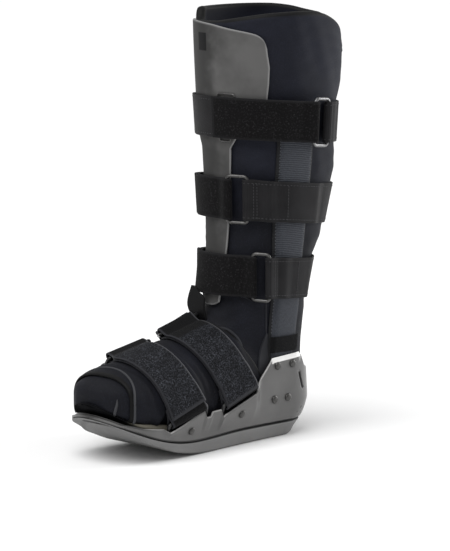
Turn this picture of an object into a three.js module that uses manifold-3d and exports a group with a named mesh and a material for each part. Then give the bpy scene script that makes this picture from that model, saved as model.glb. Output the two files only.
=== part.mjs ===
// A tall walker boot: a padded liner stands in a stiff foot shell on a rocker sole, two sleeved uprights rise
// from the shell beside the leg, a plate covers the shin, and straps with wire rings hold it shut.
// Millimetres, +Z up, toes towards -Y. The origin is on the floor between the two uprights.

import * as THREE from "three";
import { mergeVertices } from "three/addons/utils/BufferGeometryUtils.js";
import Module from "manifold-3d";

const wasm = await Module();
wasm.setup();

const { lerp, clamp, smoothstep, degToRad, radToDeg } = THREE.MathUtils;

// Driving dimensions
const GAP = 0.4;
const RIM_Z = 428;
const LINER_WALL = 8;
const SHELL_WALL = 3;
const INSOLE_THICKNESS = 5;
const INSOLE_TOE_CURL = 4;
const CURL_START_Y = -195;
const CURL_END_Y = -235;
const WRAP_THICKNESS = 3;
const PLATE_THICKNESS = 3;
const STIFF_GAP = 1.15;
const WEBBING = 1.7;
const LEG_STRAP_WIDTH = 41;
const FOOT_STRAP_WIDTH = 46;
const RING_WIDTH = 18;
const WIRE_RADIUS = 1.6;

// Sole: flat under the heel and arch, one long arc up to the toe and a short one at the heel
const FLAT_HEEL_Y = 10;
const FLAT_TOE_Y = -95;
const ROCKER_RADIUS = 240;
const HEEL_RADIUS = 51;

// Seam between sole and shell: level at the heel, a little lower at the ball, then up with the toe
const SEAM_HEEL_Z = 16.6;
const SEAM_BALL_Z = 14.6;
const SEAM_FALL_Y = -50;
const SEAM_BALL_Y = -120;
const SEAM_RADIUS = 195;

// Plan outlines: an ellipse quarter at the heel and at the toe, half widths at a few places between
const SOLE_BOTTOM_PLAN = {
  heel: { y: 10, half: 36, length: 31 },
  toe: { y: -178, half: 47, length: 40 },
  waist: [
    { y: -30, half: 38 },
    { y: -70, half: 41 },
    { y: -110, half: 45 },
    { y: -150, half: 48.5 },
  ],
};
const SOLE_TOP_PLAN = {
  heel: { y: 10, half: 43, length: 37 },
  toe: { y: -178, half: 51.5, length: 49 },
  waist: [
    { y: -30, half: 43 },
    { y: -70, half: 44.5 },
    { y: -110, half: 47.5 },
    { y: -150, half: 50.5 },
  ],
};
const SHELL_PLAN = {
  heel: { y: 10, half: 51.5, length: 46 },
  toe: { y: -178, half: 52, length: 49 },
  waist: [
    { y: -30, half: 51 },
    { y: -70, half: 50 },
    { y: -110, half: 50 },
    { y: -150, half: 51.5 },
  ],
};
const INSOLE_PLAN = {
  heel: { y: 10, half: 39, length: 33 },
  toe: { y: -178, half: 43, length: 53.5 },
  waist: [
    { y: -30, half: 39 },
    { y: -70, half: 40.5 },
    { y: -110, half: 42.5 },
    { y: -150, half: 43.5 },
  ],
};

// Top edge of the shell seen from the side: ankle tab, rear wing, front wing, low wall; the toe has a lip
const SHELL_EDGE = [
  { y: 56, z: 66 },
  { y: 30, z: 69 },
  { y: 19, z: 86 },
  { y: -20, z: 83.5 },
  { y: -44, z: 57 },
  { y: -47, z: 52.5 },
  { y: -90, z: 37 },
  { y: -93, z: 35 },
  { y: -96, z: 43 },
  { y: -107, z: 42.5 },
  { y: -110, z: 38 },
  { y: -116, z: 38 },
  { y: -119, z: 45 },
  { y: -161, z: 30.5 },
  { y: -164, z: 29 },
  { y: -170, z: 36 },
  { y: -194, z: 38.5 },
  { y: -201, z: 39.5 },
];
const LIP_Y = -210;
const LIP_HEIGHT = 0.25;
const SHELL_CHAMFER = 20;
const HEEL_LEAN = 0.1;
const HEEL_LEAN_Z = 42;
const WINGS = [
  { front: -170, rear: -107 },
  { front: -96, rear: -40 },
];
const WING_FLARE = 5.5;
const WING_RAMP = 3;
const WING_START = 3;

// Leg of the liner: level sections
const LEG = [
  { z: 428, front: -51, back: 98, half: 66.5 },
  { z: 395, front: -50, back: 98.5, half: 66 },
  { z: 345, front: -48, back: 95.5, half: 63.5 },
  { z: 316, front: -46.5, back: 91, half: 61 },
  { z: 285, front: -44.5, back: 91.5, half: 60 },
  { z: 258, front: -43.5, back: 89.5, half: 58 },
  { z: 230, front: -43, back: 83.5, half: 54.5 },
  { z: 204, front: -43, back: 76, half: 52.5 },
  { z: 185, front: -44.2, back: 67, half: 50.5 },
  { z: 160, front: -48.2, back: 58, half: 47.5 },
  { z: 145, front: -50, back: 57, half: 46.5 },
];

// Ankle of the liner: sections that fan about a point in front of the instep crease
const CREASE = { y: -80, z: 145, radius: 30, drop: 4.5, rounding: 12 };
const ANKLE = [
  { tilt: 0, back: 57, half: 46.5 },
  { tilt: 15, back: 53, half: 44 },
  { tilt: 28, back: 50, half: 43 },
  { tilt: 40, back: 48.5, half: 42.5 },
  { tilt: 90, back: 48.5, half: 44 },
];

// Foot of the liner: upright sections
const FOOT = [
  { y: -80, top: 110.5, half: 44, arch: 1.9 },
  { y: -105, top: 104.6, half: 45, arch: 1.8 },
  { y: -135, top: 99.3, half: 46, arch: 1.75 },
  { y: -165, top: 93, half: 46, arch: 1.8 },
  { y: -187, top: 86.5, half: 43, arch: 1.95 },
  { y: -200, top: 82.5, half: 39.5, arch: 2.4 },
  { y: -209.5, top: 78, half: 34, arch: 3.1 },
  { y: -216.5, top: 73.5, half: 26.5, arch: 3.6 },
  { y: -220, top: 70, half: 20, arch: 3.8 },
];
const LEG_SHAPE = { belly: 0.5, topPower: 2.1, bottomPower: 2.1 };
const FOOT_SHAPE = { belly: 0.58, topPower: FOOT[0].arch, bottomPower: 2.9 };

// Shin plate: half width by height, how far it sits round to the right, and its sloping top edge
const PLATE = [
  { z: 135, half: 10 },
  { z: 139, half: 13 },
  { z: 150, half: 14 },
  { z: 172, half: 15 },
  { z: 195, half: 16.5 },
  { z: 250, half: 20 },
  { z: 292, half: 22 },
  { z: 314, half: 36 },
  { z: 325, half: 47 },
  { z: 336, half: 54 },
  { z: 356, half: 56 },
  { z: 372, half: 57 },
  { z: 384, half: 56.5 },
];
const PLATE_SHIFT = -5.5;
const PLATE_TOP = [
  { share: -1, z: 405 },
  { share: -0.8, z: 416 },
  { share: 0, z: 414 },
  { share: 0.5, z: 409 },
  { share: 0.83, z: 403.5 },
  { share: 1, z: 388.5 },
];

// Uprights in their sleeves: middle line and half width seen from the side
const UPRIGHT = [
  { z: 46, y: -8, half: 14, thickness: 3.2 },
  { z: 80, y: -4, half: 15, thickness: 3.2 },
  { z: 92, y: -1, half: 18, thickness: 4.4 },
  { z: 130, y: 2, half: 19.5, thickness: 4.6 },
  { z: 190, y: 1, half: 18.5, thickness: 4.6 },
  { z: 265, y: 2.5, half: 19.5, thickness: 4.6 },
  { z: 326, y: 3.5, half: 20.5, thickness: 4.6 },
];
const CUFF = { bottom: 88, top: 104, half: 19, thickness: 1.4, border: 2 };

// Leg straps: height at the front, fall towards the rear, angles of the ring and of the loose end
const LEG_STRAPS = [
  { name: "top", z: 317, fall: 0.095, ring: 92, end: 0 },
  { name: "middle", z: 236, fall: 0.11, ring: 21, end: -75 },
  { name: "low", z: 162, fall: 0.08, ring: 50, end: -62 },
];

// Foot straps: place on top of the foot, place of the rings on the shell, height of the middle, slide to the
// rear on top of the foot and again on the far side, angle of the shell rings and of the ring on the far side
const FOOT_STRAPS = [
  {
    name: "front",
    top: [-160, 97],
    low: [-141.5, 45.5],
    middle: 62, slide: 3, twist: 20, bar: 110, ring: -61,
  },
  {
    name: "rear",
    top: [-92, 117],
    low: [-70, 56],
    middle: 70, slide: -1, twist: 18, bar: 108, ring: -26,
  },
];

// Rivets on the shell wall: places seen from the side
const RIVETS = [
  { name: "wing_front", y: -135, z: 26.5 },
  { name: "wing_rear", y: -67, z: 34 },
  { name: "tab_upper_front", y: -14, z: 75.5 },
  { name: "tab_upper_rear", y: 5, z: 75.5 },
  { name: "tab_lower_front", y: -19, z: 42 },
  { name: "tab_lower_rear", y: -1, z: 42 },
];
const RIVET_RADIUS = 4;
const RIVET_HEIGHT = 1.9;
const RIVET_SHOULDER = 0.75;
const RIVET_SIDES = 10;
const HEEL_SLOT = { y: 27, z: 57, width: 3.5, height: 19, lean: 20, depth: 40, inset: 6 };

// Short band that hangs from the low strap in front of the ankle
const BAND = { x: -22, y: -57, top: 145.4, bottom: 133, width: 15, swing: 2.5, thickness: 2.2 };

// A smooth curve through one column of a table, read at a value of its key column
function curve(table, key, name, at) {
  const last = table.length - 1;
  const sign = Math.sign(table[last][key] - table[0][key]);
  let i = 0;
  while (i < last - 1 && sign * (at - table[i + 1][key]) > 0) i += 1;
  const slope = (j) => {
    const before = table[Math.max(j - 1, 0)];
    const after = table[Math.min(j + 1, last)];
    return (after[name] - before[name]) / (after[key] - before[key]);
  };
  const span = table[i + 1][key] - table[i][key];
  const t = clamp((at - table[i][key]) / span, 0, 1);
  const fromStart = (1 + 2 * t) * (1 - t) ** 2 * table[i][name] + t * (1 - t) ** 2 * span * slope(i);
  const fromEnd = t * t * (3 - 2 * t) * table[i + 1][name] - t * t * (1 - t) * span * slope(i + 1);
  return fromStart + fromEnd;
}

// Straight lines through one column of a table
function line(table, key, name, at) {
  const last = table.length - 1;
  const sign = Math.sign(table[last][key] - table[0][key]);
  let i = 0;
  while (i < last - 1 && sign * (at - table[i + 1][key]) > 0) i += 1;
  const t = (at - table[i][key]) / (table[i + 1][key] - table[i][key]);
  return lerp(table[i][name], table[i + 1][name], clamp(t, 0, 1));
}

// Rise of an arc that leaves the level at distance nought
const arcRise = (radius, distance) => (distance > 0 ? radius - Math.sqrt(radius ** 2 - distance ** 2) : 0);

const soleBottom = (y) => arcRise(ROCKER_RADIUS, FLAT_TOE_Y - y) + arcRise(HEEL_RADIUS, y - FLAT_HEEL_Y);
const seam = (y) =>
  lerp(SEAM_HEEL_Z, SEAM_BALL_Z, smoothstep(-y, -SEAM_FALL_Y, -SEAM_BALL_Y)) +
  arcRise(SEAM_RADIUS, SEAM_BALL_Y - y);
const shellBottom = (y) => seam(y) + GAP;
const shellFloor = (y) => shellBottom(y) + SHELL_WALL;
const toeCurl = (y) => INSOLE_TOE_CURL * smoothstep(-y, -CURL_START_Y, -CURL_END_Y);
const insoleBottom = (y) => shellFloor(y) + GAP + toeCurl(y);
const insoleTop = (y) => insoleBottom(y) + INSOLE_THICKNESS;
const linerBottom = (y) => insoleTop(y) + GAP;

// Stations round a plan outline from the heel to the toe: heel quarter, waist places, toe quarter
const HEEL_STEPS = [90, 72, 56, 42, 28, 13];
const TOE_STEPS = [0, 16, 29, 40, 51, 62, 73, 82, 90];
const WAIST_REAR = [10, -6, -20, -32, -44, -47, -52, -68, -86, -90, -93];
const WAIST_FRONT = [-96, -107, -110, -116, -119, -140, -161, -164, -167, -170];
const STATIONS = [
  ...HEEL_STEPS.map((angle) => ({ angle, part: "heel" })),
  ...[...WAIST_REAR, ...WAIST_FRONT].map((y) => ({ y, part: "waist" })),
  ...TOE_STEPS.map((angle) => ({ angle, part: "toe" })),
];
function planPoint(plan, station) {
  const { heel, toe, waist } = plan;
  const cos = Math.cos(degToRad(station.angle ?? 0));
  const sin = Math.sin(degToRad(station.angle ?? 0));
  if (station.part === "heel") return [heel.half * cos, heel.y + heel.length * sin];
  if (station.part === "toe") return [toe.half * cos, toe.y - toe.length * sin];
  return [curve([heel, ...waist, toe], "y", "half", station.y), station.y];
}

// Closed solid from a list of corner points and faces given as rings of corner numbers
function solidFrom(points, faces) {
  const geometry = new THREE.BufferGeometry();
  geometry.setAttribute("position", new THREE.Float32BufferAttribute(points.flat(), 3));
  const index = [];
  for (const face of faces) {
    for (let k = 2; k < face.length; k += 1) index.push(face[0], face[k - 1], face[k]);
  }
  geometry.setIndex(index);
  return geometry;
}

// Tray from rings of profile points: ring i is the wall section at a station and its mirror twin
// closes the other side; the first and last stations lie on the middle line.
function trayFrom(profiles) {
  const points = [];
  const near = [];
  const far = [];
  for (const profile of profiles) {
    const middle = Math.abs(profile[0][0]) < 1e-6;
    near.push(profile.map((p) => points.push(p) - 1));
    far.push(middle ? near.at(-1) : profile.map(([x, y, z]) => points.push([-x, y, z]) - 1));
  }
  const faces = [];
  const count = profiles[0].length;
  for (let i = 0; i + 1 < profiles.length; i += 1) {
    for (let j = 0; j + 1 < count; j += 1) {
      faces.push([near[i][j], near[i][j + 1], near[i + 1][j + 1], near[i + 1][j]].reverse());
      faces.push([far[i][j], far[i + 1][j], far[i + 1][j + 1], far[i][j + 1]].reverse());
    }
    faces.push([near[i][0], near[i + 1][0], far[i + 1][0], far[i][0]].reverse());
    const top = count - 1;
    faces.push([near[i][top], far[i][top], far[i + 1][top], near[i + 1][top]].reverse());
  }
  const kept = faces
    .map((face) => face.filter((corner, k) => face.indexOf(corner) === k))
    .filter((face) => face.length > 2);
  return solidFrom(points, kept);
}

// Sole: bottom outline, a level just below the seam, and the seam outline
const SOLE_EDGE = 3;
const SOLE_FLARE_SHARE = 0.6;
function soleGeometry() {
  return trayFrom(
    STATIONS.map((station) => {
      const [bottomX, bottomY] = planPoint(SOLE_BOTTOM_PLAN, station);
      const [topX, topY] = planPoint(SOLE_TOP_PLAN, station);
      const low = soleBottom(bottomY);
      const high = Math.max(seam(topY), low + SOLE_EDGE);
      return [
        [bottomX, bottomY, low],
        [topX, topY, lerp(low, high, SOLE_FLARE_SHARE)],
        [topX, topY, high],
      ];
    }),
  );
}

// Plate that follows the shell floor
function insoleGeometry() {
  return trayFrom(
    STATIONS.map((station) => {
      const [x, y] = planPoint(INSOLE_PLAN, station);
      return [
        [x, y, insoleBottom(y)],
        [x, y, insoleTop(y)],
      ];
    }),
  );
}

// Place on the outside of the shell wall at a height above the seam, and the outward direction in plan
const lipHeight = (y) => shellFloor(y) + LIP_HEIGHT;
const EDGE_TO_LIP = [...SHELL_EDGE, { y: LIP_Y, z: lipHeight(LIP_Y) }];
const edgeHeight = (y) => (y < LIP_Y ? lipHeight(y) : line(EDGE_TO_LIP, "y", "z", y));
function wingFlare(y) {
  const wing = WINGS.find(({ front, rear }) => y > front && y < rear);
  return wing ? WING_FLARE * clamp(Math.min(y - wing.front, wing.rear - y) / WING_RAMP, 0, 1) : 0;
}
function wallPoint(station, height) {
  const [lowX, lowY] = planPoint(SOLE_TOP_PLAN, station);
  const [highX, highY] = planPoint(SHELL_PLAN, station);
  const bulge = Math.sqrt(clamp(height / SHELL_CHAMFER, 0, 1));
  const rise = edgeHeight(highY) - shellBottom(highY);
  const flare = wingFlare(highY) * smoothstep(height, WING_START, rise);
  const z = shellBottom(lerp(lowY, highY, bulge)) + height;
  const rearward = station.part === "heel" ? Math.sin(degToRad(station.angle)) : 0;
  const lean = HEEL_LEAN * Math.max(z - HEEL_LEAN_Z, 0) * rearward;
  return [lerp(lowX, highX, bulge) + flare, lerp(lowY, highY, bulge) - lean, z];
}
function planNormal(index) {
  const before = planPoint(SHELL_PLAN, STATIONS[Math.max(index - 1, 0)]);
  const after = planPoint(SHELL_PLAN, STATIONS[Math.min(index + 1, STATIONS.length - 1)]);
  if (index === 0) return [0, 1];
  if (index === STATIONS.length - 1) return [0, -1];
  const length = Math.hypot(after[0] - before[0], after[1] - before[1]);
  return [(before[1] - after[1]) / length, (after[0] - before[0]) / length];
}

// Shell: wall sections up the outside, over the edge and down the inside, with a floor
const WALL_LEVELS = [0, 0.06, 0.16, 0.32, 0.6, 1];
function shellGeometry() {
  const profiles = STATIONS.map((station, index) => {
    const [, planY] = planPoint(SHELL_PLAN, station);
    const rise = edgeHeight(planY) - shellBottom(planY);
    const [outX, outY] = planNormal(index);
    const outside = WALL_LEVELS.map((level) => wallPoint(station, level * rise));
    const inside = WALL_LEVELS.map((level) => {
      const [x, y, z] = wallPoint(station, lerp(SHELL_WALL, rise, level));
      const innerY = y - SHELL_WALL * outY;
      return [Math.max(x - SHELL_WALL * outX, 0), innerY, level === 0 ? shellFloor(innerY) : z];
    });
    const middle = station.angle === 90;
    const profile = [...outside, ...inside.reverse()];
    return middle ? profile.map(([, y, z]) => [0, y, z]) : profile;
  });
  return trayFrom(profiles);
}

// One section of the liner: its two ends in the middle plane, its half width and how square it is
function legRow(z) {
  return {
    top: [curve(LEG, "z", "front", z), z],
    bottom: [curve(LEG, "z", "back", z), z],
    half: curve(LEG, "z", "half", z),
    ...LEG_SHAPE,
  };
}
function footRow(y) {
  return {
    top: [y, curve(FOOT, "y", "top", y)],
    bottom: [y, linerBottom(y)],
    half: curve(FOOT, "y", "half", y),
    ...FOOT_SHAPE,
    topPower: curve(FOOT, "y", "arch", y),
  };
}
function ankleRow(tilt) {
  const sin = Math.sin(degToRad(tilt));
  const cos = Math.cos(degToRad(tilt));
  const share = smoothstep(tilt, 0, 90);
  const toBack = (curve(ANKLE, "tilt", "back", tilt) - CREASE.y) / Math.max(cos, 1e-3);
  const guess = CREASE.y + ((CREASE.z - linerBottom(0)) / Math.max(sin, 1e-3)) * cos;
  const toFloor = (CREASE.z - linerBottom(clamp(guess, CREASE.y, 0))) / Math.max(sin, 1e-3);
  const { rounding } = CREASE;
  const radius = CREASE.radius + CREASE.drop * smoothstep(tilt, 15, 90);
  const reach = (toBack ** -rounding + toFloor ** -rounding) ** (-1 / rounding);
  const mix = (name) => lerp(LEG_SHAPE[name], FOOT_SHAPE[name], share);
  return {
    top: [CREASE.y + radius * cos, CREASE.z - radius * sin],
    bottom: [CREASE.y + reach * cos, CREASE.z - reach * sin],
    half: curve(ANKLE, "tilt", "half", tilt),
    belly: mix("belly"),
    topPower: mix("topPower"),
    bottomPower: mix("bottomPower"),
  };
}
function rowThrough(y, z) {
  if (z >= CREASE.z) return legRow(z);
  if (y <= CREASE.y) return footRow(y);
  return ankleRow(radToDeg(Math.atan2(CREASE.z - z, y - CREASE.y)));
}

// Middle of a section in the middle plane
const rowMiddle = ({ top, bottom, belly }) => [0, 1].map((k) => lerp(top[k], bottom[k], belly));

// Point of a section at a turn from its front or top, moved outwards by a distance
function sectionPoint(row, turn, out = 0) {
  const cos = Math.cos(turn);
  const sin = Math.sin(turn);
  const power = 2 / (cos > 0 ? row.topPower : row.bottomPower);
  const end = cos > 0 ? row.top : row.bottom;
  const middle = rowMiddle(row);
  const reach = Math.hypot(end[0] - middle[0], end[1] - middle[1]);
  const along = Math.abs(cos) ** power * (1 + out / reach);
  return [
    Math.sign(sin) * Math.abs(sin) ** power * (row.half + out),
    middle[0] + (end[0] - middle[0]) * along,
    middle[1] + (end[1] - middle[1]) * along,
  ];
}

// Distance along a ray from a point inside the liner to its outside moved outwards by a distance
const RAY_LENGTH = 160;
const RAY_HALVINGS = 40;
function rayToLiner(origin, ray, out) {
  const outside = (distance) => {
    const [x, y, z] = origin.map((value, k) => value + ray[k] * distance);
    const row = rowThrough(y, z);
    const middle = rowMiddle(row);
    const axis = [row.top[0] - row.bottom[0], row.top[1] - row.bottom[1]];
    const up = ((y - middle[0]) * axis[0] + (z - middle[1]) * axis[1]) / Math.hypot(...axis);
    const end = up > 0 ? row.top : row.bottom;
    const power = up > 0 ? row.topPower : row.bottomPower;
    const reach = Math.hypot(end[0] - middle[0], end[1] - middle[1]) + out;
    return Math.abs(up / reach) ** power + Math.abs(x / (row.half + out)) ** power > 1;
  };
  let low = 0;
  let high = RAY_LENGTH;
  for (let step = 0; step < RAY_HALVINGS; step += 1) {
    const half = (low + high) / 2;
    if (outside(half)) high = half;
    else low = half;
  }
  return low;
}

// Liner: outside from the rim to the toe, then the inside back from the toe to the rim
const LEG_PLACES = [RIM_Z, 421, 411, 372, 345, 318, 290, 262, 236, 210, 186, 165, CREASE.z];
const ANKLE_PLACES = [12, 24, 35, 45, 54, 64, 77];
const FOOT_PLACES = [-80, -96, -114, -134, -154, -173, -187, -198, -206, -212, -217, -220];
const TURNS = 24;
const RIM_ZONE = 60;
const RIM_FALL = [
  { turn: -180, fall: 9 },
  { turn: -165, fall: 6.5 },
  { turn: -150, fall: 3.2 },
  { turn: -130, fall: 1.2 },
  { turn: -60, fall: 0.9 },
  { turn: -15, fall: 0 },
  { turn: 0, fall: 8 },
  { turn: 15, fall: 8.5 },
  { turn: 30, fall: 5.8 },
  { turn: 60, fall: 2.1 },
  { turn: 75, fall: 1.6 },
  { turn: 90, fall: 2.6 },
  { turn: 105, fall: 7 },
  { turn: 120, fall: 14.5 },
  { turn: 140, fall: 19.5 },
  { turn: 160, fall: 14.5 },
  { turn: 180, fall: 9 },
];
const TOE_CAP_ROWS = 3;
function linerGeometry() {
  const rows = [...LEG_PLACES.map(legRow), ...ANKLE_PLACES.map(ankleRow), ...FOOT_PLACES.map(footRow)];
  const innerRows = rows.slice(0, -TOE_CAP_ROWS).filter((_, i) => i % 2 === 0);
  const points = [];
  const ring = (row, out) =>
    Array.from({ length: TURNS }, (_, k) => {
      const turn = (2 * Math.PI * k) / TURNS;
      const [x, y, z] = sectionPoint(row, turn, out);
      const fall = curve(RIM_FALL, "turn", "fall", k > TURNS / 2 ? radToDeg(turn) - 360 : radToDeg(turn));
      return points.push([x, y, z - fall * smoothstep(z, RIM_Z - RIM_ZONE, RIM_Z)]) - 1;
    });
  const outerRings = rows.map((row) => ring(row, 0));
  const innerRings = innerRows.map((row) => ring(row, -LINER_WALL)).reverse();
  const rings = [...outerRings, ...innerRings];
  const faces = [];
  const skin = rows.length;
  const bridge = (first, second) => {
    for (let k = 0; k < TURNS; k += 1) {
      const next = (k + 1) % TURNS;
      faces.push([first[k], first[next], second[next], second[k]].reverse());
    }
  };
  for (let i = 0; i + 1 < rings.length; i += 1) {
    if (i + 1 !== skin) bridge(rings[i], rings[i + 1]);
  }
  bridge(rings.at(-1), rings[0]);
  faces.push([...rings[skin - 1]].reverse());
  faces.push([...rings[skin]]);
  return solidFrom(points, faces);
}

// Closed slab between an inner and an outer sheet of points, both grids of the same size
function slabFrom(inner, outer) {
  const rows = inner.length;
  const columns = inner[0].length;
  const points = [...inner.flat(), ...outer.flat()];
  const at = (sheet, i, j) => sheet * rows * columns + i * columns + j;
  const faces = [];
  for (let i = 0; i + 1 < rows; i += 1) {
    for (let j = 0; j + 1 < columns; j += 1) {
      faces.push([at(1, i, j), at(1, i, j + 1), at(1, i + 1, j + 1), at(1, i + 1, j)]);
      faces.push([at(0, i, j), at(0, i + 1, j), at(0, i + 1, j + 1), at(0, i, j + 1)]);
    }
  }
  for (let i = 0; i + 1 < rows; i += 1) {
    const last = columns - 1;
    faces.push([at(0, i, 0), at(1, i, 0), at(1, i + 1, 0), at(0, i + 1, 0)]);
    faces.push([at(0, i, last), at(0, i + 1, last), at(1, i + 1, last), at(1, i, last)]);
  }
  for (let j = 0; j + 1 < columns; j += 1) {
    const last = rows - 1;
    faces.push([at(0, 0, j), at(0, 0, j + 1), at(1, 0, j + 1), at(1, 0, j)]);
    faces.push([at(0, last, j), at(1, last, j), at(1, last, j + 1), at(0, last, j + 1)]);
  }
  return outwards(solidFrom(points, faces));
}

// Turns a closed solid's faces outwards when its signed volume is negative
function outwards(geometry) {
  const position = geometry.getAttribute("position");
  const index = geometry.getIndex().array;
  const [a, b, c] = [new THREE.Vector3(), new THREE.Vector3(), new THREE.Vector3()];
  let volume = 0;
  for (let k = 0; k < index.length; k += 3) {
    a.fromBufferAttribute(position, index[k]);
    b.fromBufferAttribute(position, index[k + 1]);
    c.fromBufferAttribute(position, index[k + 2]);
    volume += a.dot(b.cross(c));
  }
  if (volume < 0) {
    geometry.setIndex(Array.from(index).reverse());
  }
  return geometry;
}

const steps = (from, to, count) => Array.from({ length: count + 1 }, (_, k) => lerp(from, to, k / count));

// Foot wrap: a soft sheet over the forefoot from behind the toe cap to the instep crease
const WRAP_PLACES = [-204, -198, -191, -182, -168, -150, -128, -105, -80];
const WRAP_REAR_TILTS = [74, 58];
const WRAP_TURN = 98;
const WRAP_COLUMNS = 18;
function wrapGeometry() {
  const rows = [...WRAP_PLACES.map(footRow), ...WRAP_REAR_TILTS.map(ankleRow)];
  const turns = steps(-WRAP_TURN, WRAP_TURN, WRAP_COLUMNS).map(degToRad);
  const sheet = (out) => rows.map((row) => turns.map((turn) => sectionPoint(row, turn, out)));
  return slabFrom(sheet(GAP), sheet(GAP + WRAP_THICKNESS));
}

// Point on the front of the leg at a height and a distance off the middle plane, moved outwards
const LEG_AXIS_Y = 12;
const FRONT_ROUNDS = 8;
function frontPoint(x, z, out) {
  const origin = [0, LEG_AXIS_Y, z];
  const reach = LEG_AXIS_Y - curve(LEG, "z", "front", z) + out;
  let angle = Math.atan2(x, reach);
  let place = origin;
  for (let step = 0; step < FRONT_ROUNDS; step += 1) {
    const ray = [Math.sin(angle), -Math.cos(angle), 0];
    const distance = rayToLiner(origin, ray, out);
    place = origin.map((value, k) => value + ray[k] * distance);
    if (x !== 0) angle *= x / place[0];
  }
  return place;
}

// Shin plate: level rows across the front of the leg, the top edge arched
const PLATE_COLUMNS = 12;
const PLATE_CROWN_INSET = 3.5;
function plateGeometry() {
  const shares = steps(-1, 1, PLATE_COLUMNS);
  const crown = PLATE.at(-1);
  const sheet = (out) => {
    const across = ({ z, half }) => shares.map((share) => frontPoint(PLATE_SHIFT + share * half, z, out));
    const edge = shares.map((share) => {
      const x = PLATE_SHIFT + share * (crown.half - PLATE_CROWN_INSET);
      return frontPoint(x, line(PLATE_TOP, "share", "z", share), out);
    });
    return [...PLATE.map(across), edge];
  };
  return slabFrom(sheet(STIFF_GAP), sheet(STIFF_GAP + PLATE_THICKNESS));
}

// Point on the side of the liner above a place seen from the side, moved outwards along the slope
function sideX(y, z) {
  const row = rowThrough(y, z);
  const middle = rowMiddle(row);
  const axis = [row.top[0] - row.bottom[0], row.top[1] - row.bottom[1]];
  const up = ((y - middle[0]) * axis[0] + (z - middle[1]) * axis[1]) / Math.hypot(...axis);
  const end = up > 0 ? row.top : row.bottom;
  const power = up > 0 ? row.topPower : row.bottomPower;
  const reach = Math.hypot(end[0] - middle[0], end[1] - middle[1]);
  return row.half * Math.max(1 - Math.abs(up / reach) ** power, 0) ** (1 / power);
}
const SLOPE_REACH = 2;
function sidePoint(side, y, z, out) {
  const slopeY = (sideX(y + SLOPE_REACH, z) - sideX(y - SLOPE_REACH, z)) / (2 * SLOPE_REACH);
  const slopeZ = (sideX(y, z + SLOPE_REACH) - sideX(y, z - SLOPE_REACH)) / (2 * SLOPE_REACH);
  const normal = new THREE.Vector3(1, -slopeY, -slopeZ).normalize();
  return [side * (sideX(y, z) + normal.x * out), y + normal.y * out, z + normal.z * out];
}

// Upright: a stiff bar in a flat sleeve, full in the middle and thin at its two borders
const SLEEVE_SHARES = [-1, -0.75, -0.38, 0, 0.38, 0.75, 1];
const SLEEVE_BORDER = 1.4;
const SLEEVE_PLACES = [46, 54, 66, 80, 92, 110, 130, 148, 168, 190, 215, 240, 265, 290, 310, 326];
function uprightGeometry(side) {
  const sheet = (outer) =>
    SLEEVE_PLACES.map((z) =>
      SLEEVE_SHARES.map((share) => {
        const middle = line(UPRIGHT, "z", "y", z);
        const half = line(UPRIGHT, "z", "half", z);
        const full = line(UPRIGHT, "z", "thickness", z);
        const thick = Math.abs(share) === 1 ? SLEEVE_BORDER : full;
        return sidePoint(side, middle + share * half, z, STIFF_GAP + (outer ? thick : 0));
      }),
    );
  return slabFrom(sheet(false), sheet(true));
}

// Cuff: a loop patch round the upright just above the tab
function cuffGeometry(side) {
  const base = line(UPRIGHT, "z", "thickness", CUFF.bottom);
  const sheet = (out) =>
    steps(CUFF.bottom, CUFF.top, 2).map((z) =>
      SLEEVE_SHARES.map((share) => {
        const middle = line(UPRIGHT, "z", "y", z);
        const full = Math.max(base, line(UPRIGHT, "z", "thickness", z));
        const rise = Math.abs(share) === 1 ? CUFF.border : full;
        return sidePoint(side, middle + share * CUFF.half, z, STIFF_GAP + rise + 2 * GAP + out);
      }),
    );
  return slabFrom(sheet(0), sheet(CUFF.thickness));
}

// Point on a leg strap: an angle from the front, a place across the width, a distance off the liner
const STRAP_REACH = 60;
function legPoint(strap, angle, across, out) {
  const rise = strap.fall * STRAP_REACH * Math.cos(angle);
  const z = strap.z + rise + across;
  const row = legRow(Math.max(strap.z, CREASE.z));
  const origin = [0, (row.top[0] + row.bottom[0]) / 2, z];
  const ray = [Math.sin(angle), -Math.cos(angle), 0];
  const distance = rayToLiner(origin, ray, out);
  return origin.map((value, k) => value + ray[k] * distance);
}

// Point on a foot strap: an angle from the top of the foot in the strap's leaning plane
function footPoint(strap, angle, across, out) {
  const [topY, topZ] = strap.top;
  const [lowY, lowZ] = strap.low;
  const length = Math.hypot(topY - lowY, topZ - lowZ);
  const up = [(topY - lowY) / length, (topZ - lowZ) / length];
  const share = (strap.middle - lowZ) / (topZ - lowZ);
  const far = radToDeg(-angle);
  const twist = strap.twist * smoothstep(far, 5, 55) * (1 - smoothstep(far, 78, 106));
  const slid = across + strap.slide * Math.max(Math.cos(angle), 0) + twist;
  const origin = [0, lerp(lowY, topY, share) + up[1] * slid, lerp(lowZ, topZ, share) - up[0] * slid];
  const ray = [Math.sin(angle), up[0] * Math.cos(angle), up[1] * Math.cos(angle)];
  const distance = rayToLiner(origin, ray, out);
  return origin.map((value, k) => value + ray[k] * distance);
}

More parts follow.
